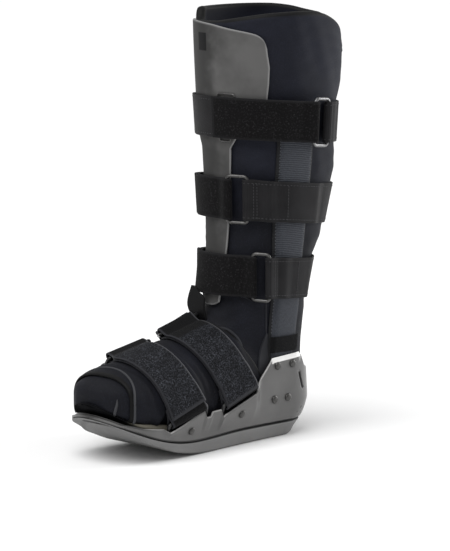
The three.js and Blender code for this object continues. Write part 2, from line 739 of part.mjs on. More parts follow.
// Ribbon of webbing: straight across its width, its middle sheet given at each station for both edges
const ACROSS = [-0.5, 0.5];
function ribbonFrom(place, stations, width) {
  const point = (station, across) => new THREE.Vector3(...place(station.angle, across, station.out));
  const middles = stations.map((station) => ACROSS.map((share) => point(station, share * width)));
  const inner = [];
  const outer = [];
  middles.forEach((row, i) => {
    const before = middles[Math.max(i - 1, 0)];
    const after = middles[Math.min(i + 1, middles.length - 1)];
    const innerRow = [];
    const outerRow = [];
    row.forEach((middle, j) => {
      const along = after[j].clone().sub(before[j]);
      const across = row[Math.min(j + 1, row.length - 1)].clone().sub(row[Math.max(j - 1, 0)]);
      const normal = along.cross(across).normalize().multiplyScalar(WEBBING / 2);
      innerRow.push(middle.clone().sub(normal).toArray());
      outerRow.push(middle.clone().add(normal).toArray());
    });
    inner.push(innerRow);
    outer.push(outerRow);
  });
  return slabFrom(inner, outer);
}

// Turn of webbing round a ring bar: half a circle from the layer below the bar to the layer above it
const TURN_RADIUS = WIRE_RADIUS + 2.8 * GAP + WEBBING / 2;
const FAR_TURN_RADIUS = TURN_RADIUS + 4 * GAP;
const TURN_STEPS = 6;
function barTurn(angle, low, side, reach, radius = TURN_RADIUS) {
  return steps(0, 180, TURN_STEPS).map((turned) => ({
    angle: angle + (side * radius * Math.sin(degToRad(turned))) / reach,
    out: low + radius * (1 - Math.cos(degToRad(turned))),
  }));
}

// What a leg strap lies on: the bare liner, the shin plate in front, an upright at each side
const REST_MARGIN = 4;
const REST_FADE = 16;
const plateau = (angle, middle, half, fade) => 1 - smoothstep(Math.abs(angle - middle), half, half + fade);
function underStrap(strap, degrees) {
  const turned = ((((degrees + 180) % 360) + 360) % 360) - 180;
  const row = legRow(strap.z);
  const middleY = (row.top[0] + row.bottom[0]) / 2;
  const highest = strap.z + LEG_STRAP_WIDTH / 2 + strap.fall * STRAP_REACH;
  const plateAngle = radToDeg(Math.asin(line(PLATE, "z", "half", highest) / row.half));
  const shiftAngle = radToDeg(Math.asin(PLATE_SHIFT / row.half));
  const barY = line(UPRIGHT, "z", "y", strap.z);
  const barHalf = line(UPRIGHT, "z", "half", strap.z);
  const edgeAngle = (y) => radToDeg(Math.atan2(sideX(y, strap.z), middleY - y));
  const barFront = edgeAngle(barY - barHalf);
  const barRear = edgeAngle(barY + barHalf);
  const barReach = (barRear - barFront) / 2 + REST_MARGIN;
  const onBar = plateau(Math.abs(turned), (barFront + barRear) / 2, barReach, REST_FADE);
  const onPlate = plateau(turned, shiftAngle, plateAngle + REST_MARGIN, REST_FADE);
  const barTop = STIFF_GAP + line(UPRIGHT, "z", "thickness", strap.z);
  return 3 * GAP + Math.max(onPlate * (STIFF_GAP + PLATE_THICKNESS), onBar * barTop);
}

// Leg strap: it starts as a loop on the ring's rear bar, goes right round the leg, passes under the ring's
// front bar, turns back over it and lies on itself up to the loose end
const LEG_REACH = 64;
const LEG_LOOP = 18;
const TURN_ROOM = 8;
const BAR_ROOM = 3;
const LAYER = WEBBING + GAP;
const LOOSE_LIFT = 0.3;
const LEG_STEP = 11;
function legStrapStations(strap) {
  const halfRing = radToDeg(RING_WIDTH / 2 / LEG_REACH);
  const front = strap.ring - halfRing;
  const rear = strap.ring + halfRing;
  const base = (degrees) => underStrap(strap, degrees) + WEBBING / 2;
  const stations = [];
  const along = (from, to, count, lift) => {
    for (const degrees of steps(from, to, count)) {
      stations.push({ angle: degToRad(degrees), out: base(degrees) + lift });
    }
  };
  const rearLow = base(rear);
  const loopEnd = rear + LEG_LOOP;
  const frontEnd = front + 360 - TURN_ROOM;
  along(loopEnd, rear + BAR_ROOM, 2, 0);
  stations.push(...barTurn(degToRad(rear), rearLow, -1, LEG_REACH));
  along(rear + TURN_ROOM, loopEnd, 1, LAYER + LOOSE_LIFT);
  along(loopEnd + TURN_ROOM, frontEnd, Math.round((frontEnd - loopEnd) / LEG_STEP), 0);
  const frontLow = Math.max(base(front), base(front - TURN_ROOM));
  stations.push(...barTurn(degToRad(front + 360), frontLow, 1, LEG_REACH));
  along(frontEnd, strap.end + 360, Math.round((frontEnd - strap.end - 360) / LEG_STEP), LAYER);
  return { stations, front, rear, frontLow, rearLow };
}

// Wire ring: a rounded rectangle of round wire about a centre, along two directions
const RING_CORNERS = [
  { x: 1, y: 1, start: 0 },
  { x: -1, y: 1, start: 90 },
  { x: -1, y: -1, start: 180 },
  { x: 1, y: -1, start: 270 },
];
const RING_CORNER_RADIUS = 4;
const WIRE_SIDES = 6;
function ringGeometry(centre, wide, tall, width, height) {
  const path = [];
  for (const { x, y, start } of RING_CORNERS) {
    for (const angle of steps(start, start + 90, 2).map(degToRad)) {
      path.push([
        x * (width / 2 - RING_CORNER_RADIUS) + RING_CORNER_RADIUS * Math.cos(angle),
        y * (height / 2 - RING_CORNER_RADIUS) + RING_CORNER_RADIUS * Math.sin(angle),
      ]);
    }
  }
  const facing = wide.clone().cross(tall).normalize();
  const points = [];
  const rings = path.map(([x, y], k) => {
    const before = path[(k + path.length - 1) % path.length];
    const after = path[(k + 1) % path.length];
    const length = Math.hypot(after[0] - before[0], after[1] - before[1]);
    const out = [(after[1] - before[1]) / length, (before[0] - after[0]) / length];
    return Array.from({ length: WIRE_SIDES }, (_, s) => {
      const angle = (2 * Math.PI * s) / WIRE_SIDES;
      const flat = [x + out[0] * WIRE_RADIUS * Math.cos(angle), y + out[1] * WIRE_RADIUS * Math.cos(angle)];
      const place = centre
        .clone()
        .addScaledVector(wide, flat[0])
        .addScaledVector(tall, flat[1])
        .addScaledVector(facing, WIRE_RADIUS * Math.sin(angle));
      return points.push(place.toArray()) - 1;
    });
  });
  const faces = [];
  rings.forEach((ring, k) => {
    const next = rings[(k + 1) % rings.length];
    ring.forEach((corner, s) => {
      const after = (s + 1) % WIRE_SIDES;
      faces.push([corner, next[s], next[after], ring[after]]);
    });
  });
  return outwards(solidFrom(points, faces));
}

// Materials
function material(color, roughness, metalness = 0) {
  return new THREE.MeshStandardMaterial({ color, roughness, metalness });
}
const FINISH = {
  sole: material("#54534f", 0.7),
  shell: material("#5b5a56", 0.42),
  liner: material("#1d1e24", 0.85),
  insole: material("#2b2b2e", 0.9),
  wrap: material("#22242a", 0.85),
  upright: material("#33363d", 0.9),
  cuff: material("#26272b", 1),
  plate: material("#5f5e5c", 0.5),
  webbing: material("#2b2c30", 0.9),
  fuzzy: material("#232326", 1),
  wire: material("#4a4a4c", 0.35, 0.8),
  rivet: material("#3b3a39", 0.35, 0.5),
};

const MERGE_REACH = 1e-4;
const boot = new THREE.Group();
boot.name = "charcot_boot";
function add(name, geometry, finish) {
  const merged = mergeVertices(geometry, MERGE_REACH);
  const mesh = new THREE.Mesh(merged, finish.clone());
  mesh.name = name;
  boot.add(mesh);
  return mesh;
}

// Boolean form of a closed geometry, and back
function toManifold(geometry) {
  const merged = mergeVertices(geometry, MERGE_REACH);
  return new wasm.Manifold(
    new wasm.Mesh({
      numProp: 3,
      vertProperties: new Float32Array(merged.getAttribute("position").array),
      triVerts: new Uint32Array(merged.getIndex().array),
    }),
  );
}
function fromManifold(manifold) {
  const mesh = manifold.getMesh();
  const geometry = new THREE.BufferGeometry();
  const corners = Float32Array.from(mesh.vertProperties);
  geometry.setAttribute("position", new THREE.BufferAttribute(corners, 3));
  geometry.setIndex(Array.from(mesh.triVerts));
  return geometry;
}

// Narrow leaning slot through each side of the heel wall
function slotGeometry(side) {
  const slot = new THREE.BoxGeometry(HEEL_SLOT.depth, HEEL_SLOT.width, HEEL_SLOT.height);
  slot.deleteAttribute("normal");
  slot.deleteAttribute("uv");
  slot.rotateX(degToRad(HEEL_SLOT.lean));
  slot.translate(side * (SHELL_PLAN.heel.half - HEEL_SLOT.inset), HEEL_SLOT.y, HEEL_SLOT.z);
  return slot;
}

add("sole", outwards(soleGeometry()), FINISH.sole);
const slots = toManifold(slotGeometry(1)).add(toManifold(slotGeometry(-1)));
add("shell", fromManifold(toManifold(outwards(shellGeometry())).subtract(slots)), FINISH.shell);
add("insole", outwards(insoleGeometry()), FINISH.insole);
add("liner", outwards(linerGeometry()), FINISH.liner);
add("foot_wrap", wrapGeometry(), FINISH.wrap);
add("shin_plate", plateGeometry(), FINISH.plate);

const SIDES = [
  { side: 1, label: "left" },
  { side: -1, label: "right" },
];
for (const { side, label } of SIDES) {
  add(`upright_${label}`, uprightGeometry(side), FINISH.upright);
  add(`upright_cuff_${label}`, cuffGeometry(side), FINISH.cuff);
}

// Wire ring whose two long bars lie along two straight places of a strap
const RING_ROOM = 1;
function ringAcross(place, first, second, width) {
  const point = ({ angle, out }, share) => new THREE.Vector3(...place(angle, share * width, out));
  const bar = (station) => ACROSS.map((share) => point(station, share));
  const [firstLow, firstHigh] = bar(first);
  const [secondLow, secondHigh] = bar(second);
  const firstMiddle = firstLow.clone().add(firstHigh).multiplyScalar(0.5);
  const secondMiddle = secondLow.clone().add(secondHigh).multiplyScalar(0.5);
  const wide = secondMiddle.clone().sub(firstMiddle);
  const tall = firstHigh.clone().sub(firstLow).add(secondHigh.clone().sub(secondLow)).normalize();
  const centre = firstMiddle.clone().add(secondMiddle).multiplyScalar(0.5);
  const height = width + 2 * (WIRE_RADIUS + RING_ROOM);
  return ringGeometry(centre, wide.clone().normalize(), tall, wide.length(), height);
}

// Leg straps and their rings
for (const strap of LEG_STRAPS) {
  const { stations, front, rear, frontLow, rearLow } = legStrapStations(strap);
  const place = (angle, across, out) => legPoint(strap, angle, across, out);
  const ribbon = ribbonFrom(place, stations, LEG_STRAP_WIDTH);
  add(`leg_strap_${strap.name}`, ribbon, FINISH.webbing);
  const frontBar = { angle: degToRad(front), out: frontLow + TURN_RADIUS };
  const rearBar = { angle: degToRad(rear), out: rearLow + TURN_RADIUS };
  add(`leg_ring_${strap.name}`, ringAcross(place, frontBar, rearBar, LEG_STRAP_WIDTH), FINISH.wire);
}

// Foot strap: a loop on the shell ring of the near side, over the foot, under a ring on the far side, back
// over itself to the near side; a short strap joins the far ring to the shell ring of the far side
const FOOT_REACH = 48;
const FOOT_LOOP = 16;
const FOOT_STEPS = 15;
const SHORT_STEPS = 3;
const FAR_STEPS = 5;
function footStations(strap) {
  const halfRing = radToDeg(RING_WIDTH / 2 / FOOT_REACH);
  const nearBar = strap.ring + halfRing;
  const farBar = strap.ring - halfRing;
  const onWrap = (degrees) => plateau(degrees, 0, WRAP_TURN + REST_MARGIN, REST_FADE);
  const base = (degrees) => 4 * GAP + onWrap(degrees) * (GAP + WRAP_THICKNESS) + WEBBING / 2;
  const lifted = (degrees) => base(degrees) + LAYER * plateau(degrees, strap.bar, FOOT_LOOP, REST_FADE);
  const along = (from, to, count, out) =>
    steps(from, to, count).map((degrees) => ({ angle: degToRad(degrees), out: out(degrees) }));
  const low = base(strap.bar - TURN_ROOM);
  const nearTurn = barTurn(degToRad(nearBar), base(nearBar), -1, FOOT_REACH, FAR_TURN_RADIUS);
  const farTurn = barTurn(degToRad(farBar), base(farBar), 1, FOOT_REACH, FAR_TURN_RADIUS);
  const overlay = (degrees) => lifted(degrees) + LAYER + LOOSE_LIFT;
  const main = [
    ...along(strap.bar - FOOT_LOOP, strap.bar - BAR_ROOM, SHORT_STEPS, () => low),
    ...barTurn(degToRad(strap.bar), low, 1, FOOT_REACH),
    ...along(strap.bar - TURN_ROOM, nearBar + TURN_ROOM, FOOT_STEPS, lifted),
    ...nearTurn,
    ...along(nearBar + TURN_ROOM + BAR_ROOM, strap.bar - 2 * TURN_ROOM, FOOT_STEPS, overlay),
  ];
  const far = [
    ...along(farBar - FOOT_LOOP, farBar - BAR_ROOM, SHORT_STEPS, () => base(farBar)),
    ...farTurn,
    ...along(farBar - TURN_ROOM, TURN_ROOM - strap.bar, FAR_STEPS, (degrees) => lifted(-degrees) + LAYER),
    ...barTurn(degToRad(-strap.bar), low, -1, FOOT_REACH).reverse(),
    ...along(BAR_ROOM - strap.bar, FOOT_LOOP - strap.bar, SHORT_STEPS, () => low),
  ];
  return { main, far, nearBar, farBar, low, ringOut: base(strap.ring) + FAR_TURN_RADIUS };
}

// Ring of the shell: its upper bar holds the strap, its lower bar hangs inside the wing
const SHELL_RING_DROP = 13;
const SHELL_RING_ROOM = 0.8;
const WING_ROOM = 2;
function shellRing(strap, side, low) {
  const angle = degToRad(side * strap.bar);
  const [high, deep] = [0.5, -0.5].map(
    (share) => new THREE.Vector3(...footPoint(strap, angle, share * FOOT_STRAP_WIDTH, low + TURN_RADIUS)),
  );
  const tall = high.clone().sub(deep).normalize();
  const upper = high.clone().add(deep).multiplyScalar(0.5);
  const down = new THREE.Vector3(0, tall.z, -tall.y).multiplyScalar(Math.sign(tall.y));
  const lower = upper.clone().addScaledVector(down, SHELL_RING_DROP);
  const [wallX] = planPoint(SHELL_PLAN, { y: lower.y, part: "waist" });
  lower.x = side * (wallX - SHELL_WALL - WIRE_RADIUS + WING_ROOM);
  const wide = lower.clone().sub(upper);
  const centre = upper.clone().add(lower).multiplyScalar(0.5);
  const height = FOOT_STRAP_WIDTH + 2 * (WIRE_RADIUS + SHELL_RING_ROOM);
  return ringGeometry(centre, wide.clone().normalize(), tall, wide.length(), height);
}

for (const strap of FOOT_STRAPS) {
  const { main, far, nearBar, farBar, low, ringOut } = footStations(strap);
  const place = (angle, across, out) => footPoint(strap, angle, across, out);
  add(`foot_strap_${strap.name}`, ribbonFrom(place, main, FOOT_STRAP_WIDTH), FINISH.fuzzy);
  add(`foot_strap_${strap.name}_far`, ribbonFrom(place, far, FOOT_STRAP_WIDTH), FINISH.fuzzy);
  const bars = [nearBar, farBar].map((degrees) => ({ angle: degToRad(degrees), out: ringOut }));
  add(`foot_ring_${strap.name}_far`, ringAcross(place, bars[0], bars[1], FOOT_STRAP_WIDTH), FINISH.wire);
  for (const { side, label } of SIDES) {
    add(`shell_ring_${strap.name}_${label}`, shellRing(strap, side, low), FINISH.wire);
  }
}

// Rivets: low domes seated on the outside of the shell wall
const shell = boot.getObjectByName("shell");
shell.geometry.computeVertexNormals();
const caster = new THREE.Raycaster();
function rivetGeometry(side, { y, z }) {
  const start = new THREE.Vector3(side * 2 * SHELL_PLAN.heel.half, y, z);
  caster.set(start, new THREE.Vector3(-side, 0, 0));
  const [hit] = caster.intersectObject(shell);
  const profile = [
    [0, 0],
    [RIVET_RADIUS, 0],
    [RIVET_SHOULDER * RIVET_RADIUS, RIVET_SHOULDER * RIVET_HEIGHT],
    [0, RIVET_HEIGHT],
  ].map(([x, height]) => new THREE.Vector2(x, height));
  const dome = new THREE.LatheGeometry(profile, RIVET_SIDES);
  dome.deleteAttribute("normal");
  dome.deleteAttribute("uv");
  const turn = new THREE.Quaternion().setFromUnitVectors(new THREE.Vector3(0, 1, 0), hit.face.normal);
  dome.applyQuaternion(turn);
  const seat = hit.point.addScaledVector(hit.face.normal, GAP);
  dome.translate(seat.x, seat.y, seat.z);
  return dome;
}
for (const { side, label } of SIDES) {
  for (const rivet of RIVETS) {
    const dome = mergeVertices(rivetGeometry(side, rivet), MERGE_REACH);
    add(`rivet_${rivet.name}_${label}`, outwards(dome), FINISH.rivet);
  }
}

// Instep band: hangs from the lower edge of the low strap towards the ring on top of the instep
function bandGeometry() {
  const sheet = (out) =>
    steps(0, 1, 2).map((share) =>
      ACROSS.map((across) => [
        BAND.x + across * BAND.width,
        BAND.y - BAND.swing * share - out,
        lerp(BAND.top, BAND.bottom, share),
      ]),
    );
  return slabFrom(sheet(0), sheet(BAND.thickness));
}
add("instep_band", bandGeometry(), FINISH.webbing);

export default boot;
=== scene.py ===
import bpy
import numpy as np
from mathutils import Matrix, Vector


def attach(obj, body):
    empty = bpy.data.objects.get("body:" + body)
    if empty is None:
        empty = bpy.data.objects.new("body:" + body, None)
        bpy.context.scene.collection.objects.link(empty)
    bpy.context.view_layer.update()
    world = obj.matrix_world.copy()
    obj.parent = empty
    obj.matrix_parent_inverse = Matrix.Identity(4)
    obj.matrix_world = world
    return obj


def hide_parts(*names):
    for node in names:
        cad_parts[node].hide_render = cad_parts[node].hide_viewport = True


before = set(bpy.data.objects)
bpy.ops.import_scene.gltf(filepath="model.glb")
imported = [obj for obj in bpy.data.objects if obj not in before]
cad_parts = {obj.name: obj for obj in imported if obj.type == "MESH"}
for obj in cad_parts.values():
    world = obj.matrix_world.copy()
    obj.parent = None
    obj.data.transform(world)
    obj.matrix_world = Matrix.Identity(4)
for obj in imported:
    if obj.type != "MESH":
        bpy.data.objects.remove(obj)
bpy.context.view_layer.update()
print("frame loaded:", len(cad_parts), "nodes")

# all shapes are worked out in millimetres and put into the mesh in metres
mm = 0.001
gap = 0.4

# small numpy helpers


def smoothStep(x, low, high):  # 0 below low, 1 above high, 3t^2 - 2t^3 between
    t = np.clip((np.asarray(x, float) - low) / (high - low), 0, 1)
    return t * t * (3 - 2 * t)


def tableCurve(table, column, at):  # cubic Hermite through one column, slopes are central differences
    rows = np.array(sorted(table), float)
    key, val = rows[:, 0], rows[:, column]
    slope = np.gradient(val)
    slope[1:-1] = (val[2:] - val[:-2]) / (key[2:] - key[:-2])
    slope[0] = (val[1] - val[0]) / (key[1] - key[0])
    slope[-1] = (val[-1] - val[-2]) / (key[-1] - key[-2])
    at = np.clip(at, key[0], key[-1])
    i = np.clip(np.searchsorted(key, at) - 1, 0, len(key) - 2)
    span = key[i + 1] - key[i]
    t = (at - key[i]) / span
    start = (1 + 2 * t) * (1 - t) ** 2 * val[i] + t * (1 - t) ** 2 * span * slope[i]
    end = t * t * (3 - 2 * t) * val[i + 1] - t * t * (1 - t) * span * slope[i + 1]
    return start + end


def tableLine(table, column, at):  # straight lines through one column
    rows = np.array(sorted(table), float)
    return np.interp(at, rows[:, 0], rows[:, column])


def unit(v):  # vectors of length one along the last axis
    return v / np.maximum(np.linalg.norm(v, axis=-1, keepdims=True), 1e-9)


def spread(length, edge, count):  # places from 0 to length, crowded within edge of both ends
    near = edge * (1 - np.cos(np.linspace(0, np.pi / 2, 5)))
    middle = np.linspace(edge, length - edge, count)
    return np.concatenate([near[:-1], middle, (length - near)[::-1][1:]])


def gridNormals(p, closeRows=False, closeCols=False):  # cross product of the two grid directions
    def step(axis, close):
        if close:
            return np.roll(p, -1, axis) - np.roll(p, 1, axis)
        return np.gradient(p, axis=axis)
    return unit(np.cross(step(0, closeRows), step(1, closeCols)))


def arcRise(radius, distance):  # height of a circle above its lowest point
    d = np.clip(distance, 0, radius * 0.98)
    return radius - np.sqrt(radius ** 2 - d ** 2)


# smooth seeded noise: a sum of sine waves with turned directions, about -1 to 1
def ripple(p, size, seed, waves=5):
    rng = np.random.default_rng(seed)
    way = unit(rng.normal(size=(waves, 3)))
    pitch = rng.uniform(0.7, 1.5, waves) * 2 * np.pi / size
    shift = rng.uniform(0, 2 * np.pi, waves)
    return np.sin(np.tensordot(p, (way * pitch[:, None]).T, 1) + shift).sum(-1) / np.sqrt(waves) / 1.4


# meshes

weldReach = 2e-4


# quads of a grid, rows by columns; either direction may close on itself
def gridQuads(rows, cols, closeRows=False, closeCols=False):
    r = np.arange(rows if closeRows else rows - 1)[:, None]
    c = np.arange(cols if closeCols else cols - 1)[None, :]
    right, below = (c + 1) % cols, (r + 1) % rows
    quads = np.stack([r * cols + c, r * cols + right, below * cols + right, below * cols + c], -1)
    return quads.reshape(-1, 4)


# one closed mesh from several grids: corners at the same place are welded, collapsed edges are dropped
# and all faces are turned round when the signed volume is negative
def makePiece(name, grids, material, node=None, sharp=None):
    points, quads, uvs, marks, start = [], [], [], {}, 0
    keys = sorted({k for g in grids for k in g.get("marks", {})})
    for g in grids:
        p = np.asarray(g["p"], float)
        rows, cols = p.shape[:2]
        points.append(p.reshape(-1, 3))
        quads.append(gridQuads(rows, cols, g.get("closeRows"), g.get("closeCols")) + start)
        uvs.append(np.broadcast_to(g.get("uv", np.zeros(2)), (rows, cols, 2)).reshape(-1, 2))
        for k in keys:
            value = np.broadcast_to(g.get("marks", {}).get(k, 0.0), (rows, cols))
            marks.setdefault(k, []).append(value.reshape(-1))
        start += rows * cols
    points, quads, uvs = np.concatenate(points), np.concatenate(quads), np.concatenate(uvs)
    marks = {k: np.concatenate(v) for k, v in marks.items()}
    cells = np.round(points / weldReach).astype(np.int64)
    _, first, where = np.unique(cells, axis=0, return_index=True, return_inverse=True)
    corners = where.reshape(-1)[quads]
    keep = corners != np.roll(corners, 1, axis=1)
    fine = (keep.sum(1) >= 3) & (corners[:, 0] != corners[:, 2]) & (corners[:, 1] != corners[:, 3])
    corners, keep, source = corners[fine], keep[fine], quads[fine]
    a, b, c, d = (points[first][corners[:, k]] for k in range(4))
    volume = np.einsum("ij,ij->", a, np.cross(b, c)) + np.einsum("ij,ij->", a, np.cross(c, d))
    if volume < 0:
        corners, keep, source = corners[:, ::-1], keep[:, ::-1], source[:, ::-1]
    count = keep.sum(1)
    mesh = bpy.data.meshes.new(name)
    mesh.vertices.add(len(first))
    mesh.vertices.foreach_set("co", (points[first] * mm).ravel())
    mesh.loops.add(int(count.sum()))
    mesh.loops.foreach_set("vertex_index", corners[keep].astype(np.int32))
    mesh.polygons.add(len(count))
    mesh.polygons.foreach_set("loop_start", (np.cumsum(count) - count).astype(np.int32))
    mesh.uv_layers.new(name="weave").data.foreach_set("uv", (uvs[source[keep]] * mm).ravel())
    for k, v in marks.items():
        mesh.attributes.new(k, "FLOAT", "POINT").data.foreach_set("value", v[first])
    mesh.validate()
    mesh.update()
    mesh.polygons.foreach_set("use_smooth", np.ones(len(mesh.polygons), bool))
    if sharp:
        mesh.set_sharp_from_angle(angle=np.radians(sharp))
    piece = bpy.data.objects.new(name, mesh)
    bpy.context.collection.objects.link(piece)
    mesh.materials.append(material)
    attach(piece, "root")
    if node:
        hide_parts(*([node] if isinstance(node, str) else node))
    return piece


# closed sheet: outer and inner faces lie half a thickness either side of a middle sheet, and the thickness
# falls to nothing at the border as a quarter circle, so the edge is round
def sheetGrids(middle, normals, thick, border, roundness, uv=None, marks=None):
    share = np.clip(border / roundness, 0, 1)
    half = thick / 2 * np.sqrt(np.maximum(1 - (1 - share) ** 2, 0))
    lift = normals * half[..., None]
    common = {"uv": np.zeros(2) if uv is None else uv, "marks": marks or {}}
    return [{"p": middle + lift, **common}, {"p": (middle - lift)[:, ::-1], **flipColumns(common)}]


def flipColumns(common):  # map and marks in the order of the turned columns
    uv = common["uv"]
    return {
        "uv": uv[:, ::-1] if np.ndim(uv) == 3 else uv,
        "marks": {k: (v[:, ::-1] if np.ndim(v) == 2 else v) for k, v in common["marks"].items()},
    }


def turnedOver(grid):  # the same grid with its faces the other way
    return {**grid, "p": grid["p"][:, ::-1], "uv": grid["uv"][:, ::-1]}


# round tube along a closed or open path: a circle of given radius in the plane across the path
def tubeGrid(path, radius, sides=10, closed=False, up=(0.0, 0.0, 1.0)):
    along = unit(np.roll(path, -1, 0) - np.roll(path, 1, 0)) if closed else unit(np.gradient(path, axis=0))
    up = np.broadcast_to(np.asarray(up, float), path.shape)
    side = unit(np.cross(along, up))
    lift = np.cross(side, along)
    turn = np.linspace(0, 2 * np.pi, sides, endpoint=False)
    radius = np.broadcast_to(radius, len(path))[:, None, None]
    ring = np.cos(turn)[None, :, None] * side[:, None] + np.sin(turn)[None, :, None] * lift[:, None]
    p = path[:, None] + ring * radius
    if not closed:  # both ends are drawn in to a point
        p = np.concatenate([np.repeat(path[:1, None], sides, 1), p, np.repeat(path[-1:, None], sides, 1)])
    length = np.concatenate([[0], np.cumsum(np.linalg.norm(np.diff(path, axis=0), axis=1))])
    if not closed:
        length = np.concatenate([length[:1], length, length[-1:]])
    uv = np.stack(np.broadcast_arrays(length[:, None], turn[None, :] * 2), -1)
    return {"p": p, "uv": uv, "closeCols": True, "closeRows": closed}


# many sewn stitches as one mesh: each is a short flat spindle laid along the seam
def stitchGrids(places, along, normals, length=2.6, width=0.75, height=0.5):
    ring = np.linspace(0, 2 * np.pi, 6, endpoint=False)
    swell = np.array([0.0, 0.75, 1.0, 0.75, 0.0])
    at = np.linspace(-0.5, 0.5, 5)
    side = np.cross(along, normals)
    p = (places[:, None, None]
         + along[:, None, None] * (at * length)[None, :, None, None]
         + side[:, None, None] * (swell[:, None] * np.cos(ring) * width / 2)[None, :, :, None]
         + normals[:, None, None] * (swell[:, None] * np.sin(ring) * height / 2)[None, :, :, None])
    return [{"p": spindle, "closeCols": True} for spindle in p]


# shader nodes

# a socket that can be added, multiplied and so on; node() adds any node to its tree
class Tap:
    def __init__(self, tree, socket=None):
        self.tree, self.socket = tree, socket

    def node(self, kind, settings=None, sockets=None, out=0):
        made = self.tree.nodes.new(kind)
        for key, value in (settings or {}).items():
            setattr(made, key, value)
        for key, value in (sockets or {}).items():
            if isinstance(value, Tap):
                self.tree.links.new(value.socket, made.inputs[key])
            else:
                made.inputs[key].default_value = value
        return Tap(self.tree, made.outputs[out])

    def math(self, operation, *others):
        return self.node("ShaderNodeMath", {"operation": operation}, dict(enumerate((self,) + others)))

    def __add__(self, other):
        return self.math("ADD", other)

    def __sub__(self, other):
        return self.math("SUBTRACT", other)

    def __rsub__(self, other):
        return self.node("ShaderNodeMath", {"operation": "SUBTRACT"}, {0: other, 1: self})

    def __mul__(self, other):
        return self.math("MULTIPLY", other)

    __radd__, __rmul__ = __add__, __mul__

    def limit(self, low, high):  # smooth mask from low to high
        return self.node("ShaderNodeMapRange", {"interpolation_type": "SMOOTHSTEP"},
                         {"Value": self, "From Min": low, "From Max": high})

    def blend(self, first, second):  # colour mixed by this mask
        made = self.tree.nodes.new("ShaderNodeMix")
        made.data_type = "RGBA"
        self.tree.links.new(self.socket, made.inputs[0])
        for target, value in ((made.inputs[6], first), (made.inputs[7], second)):
            if isinstance(value, Tap):
                self.tree.links.new(value.socket, target)
            else:
                target.default_value = (*value, 1.0)
        return Tap(self.tree, made.outputs[2])


def newMaterial(name):
    material = bpy.data.materials.new(name)
    material.use_nodes = True
    tree = material.node_tree
    shader = next(n for n in tree.nodes if n.type == "BSDF_PRINCIPLED")
    return material, Tap(tree), shader


# sets plain values on the shader and links the changing ones
def finishMaterial(tap, shader, colour, roughness, bump=None, bumpStrength=0.3, bumpDistance=0.0005, **plain):
    for key, value in (("Base Color", colour), ("Roughness", roughness)):
        if isinstance(value, Tap):
            tap.tree.links.new(value.socket, shader.inputs[key])
        else:
            shader.inputs[key].default_value = (*value, 1.0) if key == "Base Color" else value
    if bump is not None:
        made = tap.node("ShaderNodeBump", None,
                        {"Height": bump, "Strength": bumpStrength, "Distance": bumpDistance})
        tap.tree.links.new(made.socket, shader.inputs["Normal"])
    for key, value in plain.items():
        shader.inputs[key.replace("_", " ")].default_value = value


def noiseAt(tap, place, scale, detail=3.0, roughness=0.55):
    return tap.node("ShaderNodeTexNoise", None,
                    {"Vector": place, "Scale": scale, "Detail": detail, "Roughness": roughness})


def objectPlace(tap):
    return tap.node("ShaderNodeTexCoord", None, None, 3)


def partOf(tap, place, axis):  # one of the three numbers of a place
    return tap.node("ShaderNodeSeparateXYZ", None, {0: place}, axis)


def weavePlace(tap):  # the piece's own map: first value along the piece, second across it, in metres
    place = tap.node("ShaderNodeUVMap", {"uv_map": "weave"})
    return partOf(tap, place, 0), partOf(tap, place, 1)


def phaseAt(value, pitch):  # radians: one full wave for every pitch, in millimetres, of a value in metres
    return value * (2000 * np.pi / pitch)


def markAt(tap, name):  # a number kept at every corner of the mesh
    return tap.node("ShaderNodeAttribute", {"attribute_name": name}, None, 2)


# padded knit: navy black with a fine heather and rounded courses of stitches on the map; painted light makes it
# paler towards the rim, and marked edges get a painted sheen
knitLook = {
    "dark": (0.0042, 0.0045, 0.007), "light": (0.0122, 0.0138, 0.023), "fleck": (0.018, 0.0198, 0.0275),
    "piping": (0.04, 0.041, 0.045), "course": 1.15, "wale": 1.0, "paintedLightFrom": 0.12, "paintedLightTo": 0.42,
}


def knitMaterial(name, binding=(0.0028, 0.0028, 0.0031), share=1.0):
    material, tap, shader = newMaterial(name)
    place = objectPlace(tap)
    along, across = weavePlace(tap)
    dark, light, fleck = (tuple(c * share for c in knitLook[k]) for k in ("dark", "light", "fleck"))
    heather = noiseAt(tap, place, 900.0, 2.0).limit(0.46, 0.74)
    flecks = noiseAt(tap, place, 720.0, 1.0).limit(0.62, 0.72)
    cloud = noiseAt(tap, place, 20.0).limit(0.3, 0.75)
    courses = phaseAt(along, knitLook["course"]).math("SINE")
    wales = phaseAt(across, knitLook["wale"]).math("SINE")
    height = courses * wales * 0.5 + noiseAt(tap, place, 900.0) * 0.8
    taped = markAt(tap, "binding")
    # painted light: the knit grows paler towards the rim, as if lit from above
    rise = partOf(tap, place, 2).limit(knitLook["paintedLightFrom"], knitLook["paintedLightTo"])  # paler towards the rim
    colour = (heather * 0.45 + cloud * 0.4 + rise * 0.55 - 0.12).blend(dark, light)
    colour = (flecks * 0.35).blend(colour, fleck)
    colour = taped.blend(colour, binding)
    # painted sheen: marked pipings, edges and folds are lightened as if they caught the light
    colour = markAt(tap, "piping").blend(colour, knitLook["piping"])
    finishMaterial(tap, shader, colour, 0.7 - taped * 0.15, height, 0.22, 0.0004,
                   Sheen_Weight=0.025, Sheen_Roughness=0.4, Specular_IOR_Level=0.14)
    return material
